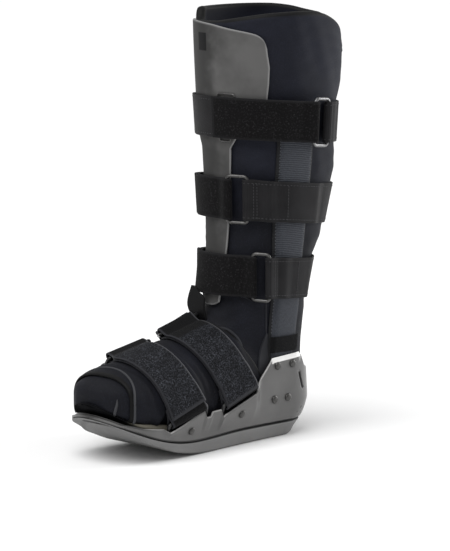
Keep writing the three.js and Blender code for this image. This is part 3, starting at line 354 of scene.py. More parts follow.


# loop pile: a mat of tiny loops, black with pale specks; a smooth woven selvedge runs along both sides,
# and a painted highlight runs along one edge of the strap
def pileMaterial(name, dark=(0.003, 0.0032, 0.0042), light=(0.051, 0.0545, 0.0655), share=(0.54, 0.78)):
    material, tap, shader = newMaterial(name)
    place = objectPlace(tap)
    loops = tap.node("ShaderNodeTexVoronoi", {"feature": "F1"}, {"Vector": place, "Scale": 760.0})
    tufts = noiseAt(tap, place, 680.0, 4.0, 0.7)
    patches = noiseAt(tap, place, 110.0, 2.0).limit(0.35, 0.65)
    speck = (tufts + loops * 0.2).limit(*share) * (0.55 + patches * 0.45)
    edge = markAt(tap, "selvedge")
    colour = markAt(tap, "pile").blend((0.005, 0.005, 0.0055), speck.blend(dark, light))
    colour = edge.blend(colour, (0.022, 0.0225, 0.026))
    # painted highlight: a pale line along one edge of the strap
    colour = markAt(tap, "edge").blend(colour, (0.11, 0.112, 0.12))
    finishMaterial(tap, shader, colour, 0.95 - edge * 0.35, tufts * (1 - edge * 0.8), 0.9, 0.0012,
                   Sheen_Weight=0.03, Sheen_Roughness=0.5, Specular_IOR_Level=0.1)
    return material


# webbing: fine ribs across the width, a twill line and darker pile where the strap's own tail lies
def webbingMaterial(name, dark=(0.0064, 0.0062, 0.0069), light=(0.0173, 0.0168, 0.0182)):
    material, tap, shader = newMaterial(name)
    place = objectPlace(tap)
    along, across = weavePlace(tap)
    tail = markAt(tap, "pile")
    edge = markAt(tap, "selvedge")
    ribs = phaseAt(along, 1.3).math("SINE")
    twill = (phaseAt(along, 1.9) + phaseAt(across, 1.5)).math("SINE")
    tufts = noiseAt(tap, place, 600.0, 4.0, 0.7)
    woven = ribs * 0.3 + twill * 0.25 + 0.5
    cloth = (woven * 0.5 + noiseAt(tap, place, 50.0) * 0.7).limit(0.2, 1.0).blend(dark, light)
    pile = tufts.limit(0.5, 0.8).blend((0.0042, 0.004, 0.0043), (0.032, 0.0311, 0.0332))
    colour = tail.blend(cloth, pile)
    colour = edge.blend(colour, (0.0115, 0.0113, 0.0122))
    height = woven * (1 - tail) + tufts * tail * 1.6
    finishMaterial(tap, shader, colour, 0.62 + tail * 0.3, height, 0.45, 0.0005,
                   Sheen_Weight=0.02, Sheen_Roughness=0.4, Specular_IOR_Level=0.11)
    return material


# ribbed sleeve: slate cloth with wavering level ribs, plain below its foot
def sleeveMaterial(name):
    material, tap, shader = newMaterial(name)
    place = objectPlace(tap)
    along = weavePlace(tap)[0]
    wobble = noiseAt(tap, place, 45.0)
    ribs = (phaseAt(along, 1.9) + wobble * 3.0).math("SINE") * along.limit(0.138, 0.15) * 0.5 + 0.5
    threads = noiseAt(tap, place, 700.0)
    border = markAt(tap, "selvedge")
    colour = (ribs * 0.4 + threads * 0.5).limit(0.15, 0.9)
    colour = colour.blend((0.0208, 0.0227, 0.028), (0.0617, 0.0674, 0.0806))
    colour = border.blend(colour, (0.01, 0.0105, 0.012))
    finishMaterial(tap, shader, colour, 0.7, ribs + threads * 0.6, 0.5, 0.0006,
                   Sheen_Weight=0.03, Sheen_Roughness=0.4, Specular_IOR_Level=0.2)
    return material


# moulded plastic: warm dark grey with a fine grain and soft mottling; the rim mark lays on a second colour
# (painted highlight on the shell's and plate's edges, painted shade in the sole's groove, a pale strip on the
# insole's bare edge), and the seam mark paints black shade
def mouldedMaterial(name, base, pale, roughness, grain, mottle=0.2, size=16.0, shine=0.4,
                    shade=None, patch=None):
    material, tap, shader = newMaterial(name)
    place = objectPlace(tap)
    cloud = noiseAt(tap, place, size, 4.0).limit(0.34, 0.68)
    scuff = noiseAt(tap, place, 130.0, 5.0, 0.7).limit(0.62, 0.8)
    rim, seam = markAt(tap, "rim"), markAt(tap, "seam")
    darker = tuple(c * (1 - mottle) for c in base)
    lighter = tuple(c * (1 + mottle) for c in base)
    colour = (cloud * 0.8 + scuff * 0.2).blend(darker, lighter)
    x, z = partOf(tap, place, 0), partOf(tap, place, 2)
    # painted shade: the plate darkens towards its left side, standing for a dark reflection
    if shade:  # darker below the first place x, full colour above the second
        colour = (x + (cloud - 0.5) * 0.02).limit(*shade).blend(tuple(c * 0.42 for c in base), colour)
    # painted shade: the seam mark blackens the colour over the rim mark's second colour
    colour = seam.blend(rim.blend(colour, pale), (0.004, 0.004, 0.004))
    if patch:  # plain black square between two places x and two heights z
        inside = [v.limit(low, low + 0.0008) * (1 - v.limit(high - 0.0008, high))
                  for v, (low, high) in zip((x, z), patch)]
        colour = (inside[0] * inside[1]).blend(colour, (0.008, 0.008, 0.0085))
    fine = noiseAt(tap, place, 1500.0, 2.0)
    finishMaterial(tap, shader, colour, roughness + scuff * 0.12 + cloud * 0.06, fine, grain, 0.0003,
                   Specular_IOR_Level=shine)
    return material


def wireMaterial(name, base, metallic=0.8):
    material, tap, shader = newMaterial(name)
    worn = noiseAt(tap, objectPlace(tap), 300.0, 4.0).limit(0.45, 0.75)
    colour = worn.blend(tuple(c * 0.6 for c in base), base)
    fine = noiseAt(tap, objectPlace(tap), 900.0)
    finishMaterial(tap, shader, colour, 0.3 + worn * 0.15, fine, 0.1, 0.0002, Metallic=metallic)
    return material


def threadMaterial(name, colour):
    material, tap, shader = newMaterial(name)
    twist = noiseAt(tap, objectPlace(tap), 1800.0)
    colour = twist.blend(tuple(c * 0.5 for c in colour), colour)
    finishMaterial(tap, shader, colour, 0.6, twist, 0.4, 0.0002, Specular_IOR_Level=0.25)
    return material


knit = knitMaterial("padded_knit")
wrapKnit = knitMaterial("wrap_knit", (0.0016, 0.0016, 0.0018), 0.88)
pile = pileMaterial("loop_pile")
webbing = webbingMaterial("strap_webbing")
sleeve = sleeveMaterial("ribbed_sleeve")
shellPlastic = mouldedMaterial("shell_plastic", (0.089, 0.0877, 0.0868), (0.7, 0.695, 0.685),
                               roughness=0.27, grain=0.07)
# the sole's second colour is black: painted shade in the groove under the shell
soleRubber = mouldedMaterial("sole_rubber", (0.158, 0.1575, 0.1565), (0.004, 0.004, 0.004),
                             roughness=0.6, grain=0.3, mottle=0.1)
insoleFoam = mouldedMaterial("insole_foam", (0.0036, 0.0037, 0.0045), (0.19, 0.178, 0.145),
                             roughness=0.8, grain=0.3, mottle=0.3, size=60.0, shine=0.05)
# the plate's strong mottle paints smudged dark reflections, its shade a darker left side, its rim mark a
# painted highlight
plateSheet = mouldedMaterial("plate_sheet", (0.088, 0.087, 0.086), (0.26, 0.26, 0.26),
                             roughness=0.48, grain=0.06, mottle=0.34, size=15.0, shine=0.06,
                             shade=(-0.016, 0.012), patch=((-0.025, -0.01), (0.3865, 0.405)))
# lit and shaded copies of one wire: the paler one paints light on the top ring, the darker one paints shade on
# the other rings and the hoops
wire = wireMaterial("ring_wire", (0.24, 0.24, 0.243))
shadedWire = wireMaterial("shaded_ring_wire", (0.13, 0.128, 0.126))
blackWire = wireMaterial("black_wire", (0.03, 0.03, 0.031), 0.3)
rivetMetal = wireMaterial("rivet_metal", (0.1, 0.098, 0.095))
thread = threadMaterial("seam_thread", (0.05, 0.05, 0.054))
sleeveThread = threadMaterial("sleeve_thread", (0.1, 0.106, 0.12))
print("materials made")

# plan outlines of sole, shell and insole
# heel and toe: place y where the end starts, half width there, length; waist: place y, half width
heelY, toeY = 10, -178
plans = {
    "soleLow": {"heel": (heelY, 36, 31), "toe": (toeY, 46.5, 34),
                "waist": [(-30, 38), (-70, 41), (-110, 45), (-150, 48.5)]},
    "soleHigh": {"heel": (heelY, 43, 37), "toe": (toeY, 51.5, 45.5),
                 "waist": [(-30, 43), (-70, 44.5), (-110, 47.5), (-150, 50.5)]},
    "shell": {"heel": (heelY, 51.5, 46), "toe": (toeY, 52, 45.5),
              "waist": [(-30, 51), (-70, 50), (-110, 50), (-150, 51.5)]},
    "insole": {"heel": (heelY, 39, 33), "toe": (toeY, 43, 48.5),
               "waist": [(-30, 39), (-70, 40.5), (-110, 42.5), (-150, 43.5)]},
}
# edge of the shell wall: place y, height
edgeTable = [
    (56, 66), (30, 69), (19, 86), (-20, 83.5), (-44, 57), (-47, 52.5), (-90, 37), (-93, 35), (-96, 43),
    (-107, 42.5), (-110, 38), (-116, 38), (-119, 45), (-161, 30.5), (-164, 29), (-170, 33), (-194, 36),
    (-201, 38.5),
]
wallLook = {"thick": 3.0, "chamfer": 20.0, "flare": 5.5, "ramp": 13.0, "wingFront": -172, "wingRear": -36,
            "lean": 0.1, "leanZ": 42.0, "lipY": -210.0, "lip": 0.25}
# arcs: radius, place y where it starts; lifts and dips: height, distance from the origin to the toe
rockerLook = {"toeArc": (240, -95), "heelArc": (51, heelY), "lifts": [(2.4, 146, 180), (4.2, 182, 214)]}
seamLook = {"height": 16.6, "dip": (2, 50, 120), "toeArc": (195, -120)}
insoleLook = {"thick": 5, "lift": (4, 195, 235)}


def toeward(y, height, low, high):  # a soft step up on the way to the toe
    return height * smoothStep(-y, low, high)


def soleBottom(y):  # an arc up to the toe, an arc up to the heel and two lifts
    (toeRadius, toeStart), (heelRadius, heelStart) = rockerLook["toeArc"], rockerLook["heelArc"]
    first, second = (toeward(y, *lift) for lift in rockerLook["lifts"])
    return arcRise(toeRadius, toeStart - y) + arcRise(heelRadius, y - heelStart) + first + second


def seamZ(y):  # level behind, a dip in the middle and an arc up to the toe
    radius, start = seamLook["toeArc"]
    return seamLook["height"] - toeward(y, *seamLook["dip"]) + arcRise(radius, start - y)


def shellLow(y):
    return seamZ(y) + gap


def floorZ(y):
    return shellLow(y) + wallLook["thick"]


def insoleLow(y):
    return floorZ(y) + gap + toeward(y, *insoleLook["lift"])


def linerLow(y):
    return insoleLow(y) + insoleLook["thick"] + gap


# stations from heel to toe: an angle in the two end quarters, a place y along the waist
heelTurn = np.linspace(np.pi / 2, 0, 27)[:-1]
toeTurn = np.linspace(0, np.pi / 2, 40)
waistEnd = toeY + 0.1
waistY = np.unique(np.concatenate([
    np.linspace(waistEnd, heelY, 92), [row[0] for row in edgeTable if toeY < row[0] < heelY],
    [wallLook["wingFront"] + 3, wallLook["wingRear"] - 3]]))[::-1]
stations = (heelTurn, waistY, toeTurn)
fineStations = (np.linspace(np.pi / 2, 0, 76)[:-1], np.linspace(heelY, waistEnd, 260),
                np.linspace(0, np.pi / 2, 110))
stationCount = len(heelTurn) + len(waistY) + len(toeTurn)


# half width and place of every station: quarter ellipses at the ends, a smooth waist
def planLine(name, stations=stations):
    plan = plans[name]
    heelTurn, waistY, toeTurn = stations
    (hy, hx, hl), (ty, tx, tl) = plan["heel"], plan["toe"]
    rows = [(hy, hx)] + plan["waist"] + [(ty, tx)]
    x = np.concatenate([hx * np.cos(heelTurn), tableCurve(rows, 1, waistY), tx * np.cos(toeTurn)])
    y = np.concatenate([hy + hl * np.sin(heelTurn), waistY, ty - tl * np.sin(toeTurn)])
    x[[0, -1]] = 0
    return x, y


# near and far halves joined into one ring of columns; rows run up the profile
def ringFrom(profile):  # profile: levels by stations by 3
    far = profile[:, -2:0:-1] * np.array([-1, 1, 1])
    return np.concatenate([profile, far], 1)


def ringMark(values):  # marks of both halves in the same order
    return np.concatenate([values, values[:, -2:0:-1]], 1)


def toMiddle(row):  # the same stations moved on to the middle line
    return row * np.array([0, 1, 1])


def edgeZ(y):  # straight lines along the wall, then a low lip round the toe
    lip = floorZ(y) + wallLook["lip"]
    rows = edgeTable + [(wallLook["lipY"], float(floorZ(wallLook["lipY"]) + wallLook["lip"]))]
    return np.where(y < wallLook["lipY"], lip, tableLine(rows, 1, y))


def wingOut(y):  # how far the wing flares: soft steps up and down over a ramp at both ends
    inside = np.minimum(y - wallLook["wingFront"], wallLook["wingRear"] - y)
    return wallLook["flare"] * smoothStep(inside / wallLook["ramp"], 0, 1)


lowX, lowY = planLine("soleHigh")
highX, highY = planLine("shell")
heelward = np.concatenate([np.sin(heelTurn), np.zeros(stationCount - len(heelTurn))])
shellNormal = unit(np.stack([-np.gradient(highY), np.gradient(highX)], -1))
shellNormal[0], shellNormal[-1] = (0, 1), (0, -1)


# outside of the wall, heights by stations: a bulging foot, wings that flare, a heel that leans in
def wallAt(height):
    bulge = np.sqrt(np.clip(height / wallLook["chamfer"], 0, 1))
    rise = edgeZ(highY) - shellLow(highY)
    y = lowY + (highY - lowY) * bulge
    z = shellLow(y) + height
    flare = wingOut(highY) * smoothStep(height, 3, np.maximum(rise, 3.1))
    lean = wallLook["lean"] * np.maximum(z - wallLook["leanZ"], 0) * heelward
    x = lowX + (highX - lowX) * bulge + flare * (highX > 0)
    x = np.where(highX < 1e-6, 0, x)
    return np.stack(np.broadcast_arrays(x, y - lean, z), -1)


# sole: notched tread edge, flaring side, and a groove under the seam darkened with painted shade
soleLook = {"edge": 2.2, "notch": 0.9, "pitch": 3.1, "flareShare": 0.82}


def outwardLevel(x, y):  # level direction across an outline, straight along y at both ends
    out = unit(np.stack([-np.gradient(y), np.gradient(x), 0 * x], -1))
    out[0], out[-1] = (0, 1, 0), (0, -1, 0)
    return out


def makeSole():
    edge = soleLook["edge"]
    bx, by = planLine("soleLow", fineStations)
    tx, ty = planLine("soleHigh", fineStations)
    low = soleBottom(by)
    high = np.maximum(seamZ(ty), low + 3)
    flat = np.stack([bx, by, low], -1)
    top = np.stack([tx, ty, high], -1)
    out = outwardLevel(tx, ty)
    shoulder = np.stack([tx, ty, low + (high - low) * soleLook["flareShare"]], -1)
    up = np.array([0, 0, 1.0])
    length = np.concatenate([[0], np.cumsum(np.linalg.norm(np.diff(flat, axis=0), axis=1))])
    notch = soleLook["notch"] * smoothStep(np.sin(2 * np.pi * length / soleLook["pitch"]), -0.3, 0.5)[:, None]
    rows, rim = [], []

    def add(row, dark=0):
        rows.append(row)
        rim.append(dark)

    for share, cut in ((0, 0), (0.5, 0), (0.86, 0), (0.9, 1), (1, 1)):  # bottom, notched near the edge
        add(toMiddle(flat) * (1 - share) + (flat - out * edge) * share + up * notch * cut)
    for q in np.radians([35, 65, 90]):  # round edge
        rise = edge * 0.6 * (1 - np.cos(q)) + notch * np.cos(q)
        add(flat - out * edge * (1 - np.sin(q)) + up * rise)
    start = rows[-1]
    for t in np.linspace(0.12, 1, 7):  # flaring side, slightly hollow
        add(start + (shoulder - start) * t + out * (-0.4 * np.sin(np.pi * t)))
    for t in (0.12, 0.25):  # upright band
        add(shoulder + (top - shoulder) * t)
    # painted shade: the groove rows and the hidden top are marked dark
    for inset, t, dark in ((0.05, 0.34, 0.3), (0.9, 0.5, 1), (1.8, 1.0, 1)):  # groove below the shell
        add(shoulder + (top - shoulder) * t - out * inset, dark)
    add(top * np.array([0.5, 1, 1]), 1)
    add(toMiddle(top), 1)
    p = np.stack(rows)
    p[:, [0, -1], 0] = 0
    p[..., 2] = np.clip(p[..., 2], 0, seamZ(p[..., 1]))
    marks = np.broadcast_to(np.array(rim, float)[:, None], p.shape[:2])
    grid = {"p": ringFrom(p), "closeCols": True, "marks": {"rim": ringMark(marks)}}
    makePiece("sole_rocker", [grid], soleRubber, "sole", 50)


makeSole()


# shell: outside up, over a round edge, down the inside, across the floor
# a slot is cut through each side of the heel
slotLook = {"y": 19.5, "z": 57, "width": 3.5, "height": 19, "lean": 20, "depth": 40, "inset": 6}
tabBevel = {"front": -21, "rear": 20, "deep": 4.8}


def makeShell():
    thick = wallLook["thick"]
    rise = edgeZ(highY) - shellLow(highY)
    inside = rise
    rise = rise - 1.9 * smoothStep(-highY, 204, 214)  # the lip is thin at the toe
    out = np.concatenate([shellNormal, np.zeros((stationCount, 1))], 1)
    onTab = ((highY > tabBevel["front"]) & (highY < tabBevel["rear"])) * 1.0
    rows, rim, seam = [], [], [1, 1]
    bottom = wallAt(np.zeros(stationCount))
    rows += [toMiddle(bottom), bottom * np.array([0.55, 1, 1])]
    rim += [0 * onTab, 0 * onTab]
    # painted shade: the lowest rows are black at the gap above the sole
    for height, dark in ((0, 1), (0.6, 1), (1.1, 1), (1.5, 0), (2.4, 0)):  # lowest part, black at the seam
        rows.append(wallAt(np.minimum(height, rise * 0.3)))
        rim.append(0 * onTab)
        seam.append(dark)
    for level in np.linspace(0.15, 0.9, 16):
        rows.append(wallAt(level * (rise - tabBevel["deep"] * onTab)))
        rim.append(0 * onTab)
    rows.append(wallAt(rise - 1.6 - (tabBevel["deep"] - 1.6) * onTab))
    rim.append(0 * onTab)
    # painted highlight: the rim mark pales the tab's bevel
    rows.append(wallAt(rise - 1.5 - (tabBevel["deep"] - 1.7) * onTab) - out * 0.2 * onTab[:, None])
    rim.append(onTab)
    crest = wallAt(rise) - out * 1.1 * onTab[:, None]
    inner = wallAt(inside) - out * thick
    atToe = smoothStep(-highY, 184, 202)
    edgeStart = len(rows) - 1
    # painted highlight: the rim mark pales the round top edge, fading out at the toe and full on the tab
    for q in np.radians([0, 35, 65, 90, 115, 145, 180]):  # round top edge
        across = (crest + inner) / 2 + (crest - inner) / 2 * np.cos(q)
        drop = (thick / 2 * (1 - 0.4 * onTab) * (np.sin(q) - 1))[:, None]
        rows.append(across + np.array([0, 0, 1.0]) * drop)
        rim.append(np.maximum(0.4 * float(np.sin(q)) ** 2 * (1 - atToe), onTab))
    edgeEnd = len(rows)
    for level in np.linspace(0.92, 0.0, 12):
        point = wallAt(thick + (inside - thick) * level) - out * thick
        if level == 0:
            point[:, 2] = floorZ(point[:, 1])
        rows.append(point)
        rim.append(0 * onTab)
    last = rows[-1]
    rows += [last * np.array([0.5, 1, 1]), toMiddle(last)]
    rim += [0 * onTab, 0 * onTab]
    p = np.stack(rows)
    p[:, [0, -1], 0] = 0
    p[..., 0] = np.maximum(p[..., 0], 0)
    seam = np.array(seam + [0] * (len(rows) - len(seam)), float)[:, None] * np.ones(stationCount)
    # painted shade: the seam mark darkens the top edge round the toe lip
    seam[edgeStart:edgeEnd] = 0.62 * atToe  # the lip is darker at the toe
    marks = {"rim": ringMark(np.stack(rim)), "seam": ringMark(seam)}
    grid = {"p": ringFrom(p), "closeCols": True, "marks": marks}
    piece = makePiece("shell_tray", [grid], shellPlastic, "shell", 38)
    cutSlots(piece)


def cutSlots(piece):  # leaning boxes with round ends taken away from the wall
    q = np.linspace(0, 2 * np.pi, 24, endpoint=False)
    w, h = slotLook["width"] / 2, slotLook["height"] / 2
    y, z = w * np.cos(q), (h - w) * np.sign(np.sin(q)) + w * np.sin(q)
    lean = np.radians(slotLook["lean"])
    y, z = (slotLook["y"] + y * np.cos(lean) - z * np.sin(lean),
            slotLook["z"] + y * np.sin(lean) + z * np.cos(lean))
    middle = plans["shell"]["heel"][1] - slotLook["inset"]
    grids = []
    for side in (1, -1):
        x = side * (middle + np.array([-0.5, -0.5, 0.5, 0.5]) * slotLook["depth"])
        ring = np.stack(np.broadcast_arrays(x[:, None], y[None, :], z[None, :]), -1)
        ring[0, :, 1:], ring[3, :, 1:] = (slotLook["y"], slotLook["z"]), (slotLook["y"], slotLook["z"])
        grids.append({"p": ring[:, ::side], "closeCols": True})
    cutter = makePiece("slot_cutter", grids, shellPlastic)
    cut = piece.modifiers.new("slots", "BOOLEAN")
    cut.object, cut.solver = cutter, "EXACT"
    made = bpy.data.meshes.new_from_object(piece.evaluated_get(bpy.context.evaluated_depsgraph_get()))
    piece.modifiers.clear()
    piece.data = made
    bpy.data.objects.remove(cutter)


makeShell()


# insole board: flat slab with a rolled edge that shows as a lip at the toe
def makeInsole():
    x, y = planLine("insole")
    out = outwardLevel(x, y)
    up = np.array([0, 0, 1.0])
    half = (2.5 - 1.8 * smoothStep(-y, 150, 205))[:, None]
    low = np.stack([x, y, insoleLow(y)], -1) + up * (insoleLook["thick"] - 2 * half)
    bare = smoothStep(-y, 150, 160) * (1 - smoothStep(-y, 196, 205))
    rows = [toMiddle(low), low * np.array([0.5, 1, 1]), low - out * 2.5]
    rim = [0 * bare, 0 * bare, bare]
    for q in np.radians(np.linspace(-90, 90, 9)):
        over = 2.5 * np.cos(q) - 2.5 + 1.5 * bare[:, None]
        rows.append(low + out * over + up * half * (1 + np.sin(q)) * (1 + 1.6 * bare[:, None]))
        rim.append(bare)
    high = np.stack([x, y, insoleLow(y) + insoleLook["thick"]], -1) - out * 3.2
    rows += [high, high * np.array([0.5, 1, 1]), toMiddle(high)]
    rim += [0.3 * bare, 0 * bare, 0 * bare]
    p = np.stack(rows)
    p[:, [0, -1], 0] = 0
    grid = {"p": ringFrom(p), "closeCols": True, "marks": {"rim": ringMark(np.stack(rim))}}
    return makePiece("insole_board", [grid], insoleFoam, "insole", 60)


makeInsole()
print("sole, shell and insole made")

# the sock: leg sections are level, ankle sections fan about the crease, foot sections are upright

sockLook = {"rimZ": 428, "wall": 8, "creaseY": -80, "creaseZ": 145, "creaseRadius": 30,
            "creaseDrop": 4.5, "rounding": 12}
legTable = [  # height, front and back, half width
    (428, -51, 98, 66.5), (395, -50, 98.5, 66), (345, -48, 95.5, 63.5), (316, -46.5, 91, 61),
    (285, -44.5, 91.5, 60),
    (258, -43.5, 89.5, 58), (230, -43, 83.5, 54.5), (204, -43, 76, 52.5), (185, -44.2, 67, 50.5),
    (160, -48.2, 58, 47.5),
    (145, -50, 57, 46.5),
]
ankleTable = [(0, 57, 46.5), (15, 53, 44), (28, 50, 43), (40, 48.5, 42.5), (90, 48.5, 44)]
footTable = [  # place y, top, half width, power of the arch
    (-80, 110.5, 44, 1.9), (-105, 104.6, 45, 1.8), (-135, 99.3, 46, 1.75), (-165, 93, 46, 1.8),
    (-187, 86.5, 43, 1.95),
    (-200, 82.5, 39.5, 2.4), (-209.5, 78, 34, 3.1), (-215.5, 74, 27.5, 3.6), (-218.5, 70.5, 21, 3.8),
]
legShape = (0.5, 2.1, 2.1)  # belly place, front power, rear power
footShape = (0.58, 1.9, 2.9)


# a section is eight numbers: its two ends (y, z), half width, belly place and the two powers
def section(*values):
    return np.stack(np.broadcast_arrays(*[np.asarray(v, float) for v in values]), -1)


def legSection(z):
    front, back, half = (tableCurve(legTable, k, z) for k in (1, 2, 3))
    return section(front, z, back, z, half, *legShape)


def footSection(y):
    top, half, arch = (tableCurve(footTable, k, y) for k in (1, 2, 3))
    square = 4 * smoothStep(-y, 182, 205)
    return section(y, top, y, linerLow(y), half, footShape[0], arch, footShape[2] + square)


def ankleSection(tilt):  # reach to the rear line and to the floor, joined by a rounded minimum
    s, c = np.sin(np.radians(tilt)), np.cos(np.radians(tilt))
    cy, cz, n = sockLook["creaseY"], sockLook["creaseZ"], sockLook["rounding"]
    share = smoothStep(tilt, 0, 90)
    toBack = (tableCurve(ankleTable, 1, tilt) - cy) / np.maximum(c, 1e-3)
    guess = cy + (cz - linerLow(0.0)) / np.maximum(s, 1e-3) * c
    toFloor = (cz - linerLow(np.clip(guess, cy, 0))) / np.maximum(s, 1e-3)
    reach = (toBack ** -n + toFloor ** -n) ** (-1 / n)
    belly, top, bottom = (a + (b - a) * share for a, b in zip(legShape, footShape))
    r = sockLook["creaseRadius"] + sockLook["creaseDrop"] * smoothStep(tilt, 15, 90)
    return section(cy + r * c, cz - r * s, cy + reach * c, cz - reach * s,
                   tableCurve(ankleTable, 2, tilt), belly, top, bottom)


def sectionThrough(y, z):
    cy, cz = sockLook["creaseY"], sockLook["creaseZ"]
    tilt = np.clip(np.degrees(np.arctan2(cz - z, y - cy)), 0, 90)
    leg, ankle, foot = legSection(np.maximum(z, cz)), ankleSection(tilt), footSection(np.minimum(y, cy))
    return np.where((z >= cz)[..., None], leg, np.where((y <= cy)[..., None], foot, ankle))


def sockPoint(rows, turn, out=0.0):  # superellipse round each section, front or top at turn 0
    ty, tz, by, bz, half, belly, topPow, botPow = np.moveaxis(rows, -1, 0)
    c, s = np.cos(turn), np.sin(turn)
    front = c > 0
    power = 2 / np.where(front, topPow, botPow)
    my, mz = ty + (by - ty) * belly, tz + (bz - tz) * belly
    ey, ez = np.where(front, ty, by) - my, np.where(front, tz, bz) - mz
    along = np.abs(c) ** power * (1 + out / np.hypot(ey, ez))
    x = np.sign(s) * np.abs(s) ** power * (half + out)
    return np.stack(np.broadcast_arrays(x, my + ey * along, mz + ez * along), -1)


def sockMeasure(p, out):  # under 1 inside the sock grown by out, over 1 outside it
    x, y, z = np.moveaxis(p, -1, 0)
    ty, tz, by, bz, half, belly, topPow, botPow = np.moveaxis(sectionThrough(y, z), -1, 0)
    my, mz = ty + (by - ty) * belly, tz + (bz - tz) * belly
    ay, az = ty - by, tz - bz
    up = ((y - my) * ay + (z - mz) * az) / np.hypot(ay, az)
    front = up > 0
    power = np.where(front, topPow, botPow)
    reach = np.hypot(np.where(front, ty, by) - my, np.where(front, tz, bz) - mz) + out
    return np.abs(up / reach) ** power + np.abs(x / (half + out)) ** power


def rayOut(origin, ray, out):  # point where a ray leaves the sock grown by out, by halving
    origin, ray = np.broadcast_arrays(np.asarray(origin, float), np.asarray(ray, float))
    low, high = np.zeros(origin.shape[:-1]), np.full(origin.shape[:-1], 160.0)
    for _ in range(30):
        half = (low + high) / 2
        outside = sockMeasure(origin + ray * half[..., None], out) > 1
        high, low = np.where(outside, half, high), np.where(outside, low, half)
    return origin + ray * low[..., None]


# the rim dips at the overlap in front and rounds off behind the near side: turn in degrees, fall
rimTable = [
    (-180, 9), (-165, 6.5), (-150, 3.2), (-130, 1.2), (-60, 0.9), (-52, 0.4), (-47, 1.2), (-40, 10),
    (-34, 12.6), (-15, 12), (0, 11.2), (8, 9.8), (20, 7.6), (30, 5.8),
    (45, 3.4), (60, 2.1), (75, 1.6), (90, 2.6), (100, 5.2), (110, 9.5),
    (120, 14.5), (127, 19), (133, 24.5), (139, 29),
    (146, 31), (153, 28.5), (162, 20), (171, 13), (180, 9),
]


def rimFall(turn, z):
    degrees = (np.degrees(turn) + 180) % 360 - 180
    return tableCurve(rimTable, 1, degrees) * smoothStep(z, sockLook["rimZ"] - 60, sockLook["rimZ"])


# straps, plate and uprights: where they lie

stiffGap = 1.15
plateTable = [  # height, half width
    (135, 10), (139, 13), (150, 14), (172, 15), (195, 16.5), (250, 20), (292, 22), (314, 36), (325, 47),
    (336, 54),
    (356, 56), (372, 57), (384, 56.5),
]
plateTop = [(-1, 405), (-0.9, 413.5), (-0.8, 416), (0, 414), (0.5, 409.5), (0.74, 407), (0.88, 404.5),
            (0.95, 401), (0.985, 396.5), (1, 391)]
plateLook = {"shift": -5.5, "thick": 3.0, "crownInset": 1.0}
uprightTable = [  # height, middle, half width, thickness
    (46, -8, 14, 3.2), (80, -4, 15, 3.2), (92, -1, 18, 4.4), (130, 2, 19.5, 4.6), (190, 1, 18.5, 4.6),
    (265, 2.5, 19.5, 4.6),
    (326, 3.5, 20.5, 4.6),
]
strapLook = {"thick": 1.7, "legWidth": 41, "footWidth": 46, "ringWidth": 18, "wireRadius": 1.6}
legStraps = {
    "top": {"z": 317, "fall": 0.095, "ring": 92, "end": 0},
    "middle": {"z": 236, "fall": 0.11, "ring": 21, "end": -75},
    "low": {"z": 162, "fall": 0.08, "ring": 50, "end": -62},
}
footStraps = {
    "front": {"top": (-160, 97), "low": (-141.5, 45.5), "middle": 62, "slide": 3, "twist": 20, "bar": 110,
              "ring": -61, "stop": -6, "ringShift": 1.5},
    "rear": {"top": (-92, 117), "low": (-70, 56), "middle": 70, "slide": -1, "twist": 18, "bar": 108,
             "ring": -26, "stop": 1, "ringShift": 2.6},
}
strapReach = 60


# liner: padded wall with a taped rim, swelling between the straps
linerLook = {"swell": 1.6, "crown": 0.4, "tape": 0.5, "tapeWidth": 3.8, "columns": 176}
# edges of the cloth layers on the near side: radius, share of painted sheen and places on the sock
linerEdges = {
    "arch": (1.6, 0.5, [(12.8, -62.7, 113.5), (17.3, -58.9, 113.1), (22.1, -55.2, 111.3), (26.7, -52.2, 107.5),
                        (30.8, -50, 102.2), (34, -50, 96.6), (36.6, -53.6, 90.3)]),
    "fold": (1.1, 0.3, [(12.1, -48.1, 147.9), (22.9, -43.6, 146.6), (29.4, -38.9, 144.8), (34, -33.7, 140.7)]),
    "flap": (1.0, 0.4, [(41.3, -21.4, 142.2), (40.5, -20.5, 131), (40.1, -20.1, 118.8), (40, -19.9, 105.7)]),
    "leafFront": (1.0, 0.2, [(40.1, -19.4, 107.7), (38.8, -23.7, 98), (39.9, -29, 87.7), (41.9, -32.7, 76.4),
                             (42.9, -33.5, 66.5), (42.7, -31.7, 56.2)]),
    "leafRear": (1.0, 0.5, [(40.2, -18.4, 106.6), (40.6, -17.2, 96.4), (41.1, -17.4, 86.4), (41.9, -19.6, 78.8),
                            (42.7, -24, 68.3), (42.6, -31.2, 56.1)]),
    "tuck": (1.4, 1.0, [(31.1, -212.4, 65.1), (30.9, -212.7, 59.8), (29.6, -213.5, 53.9), (27.2, -212.5, 49),
                        (24, -210, 46)]),
}


def strapHeight(strap, angle):
    return strap["z"] + strap["fall"] * strapReach * np.cos(angle)


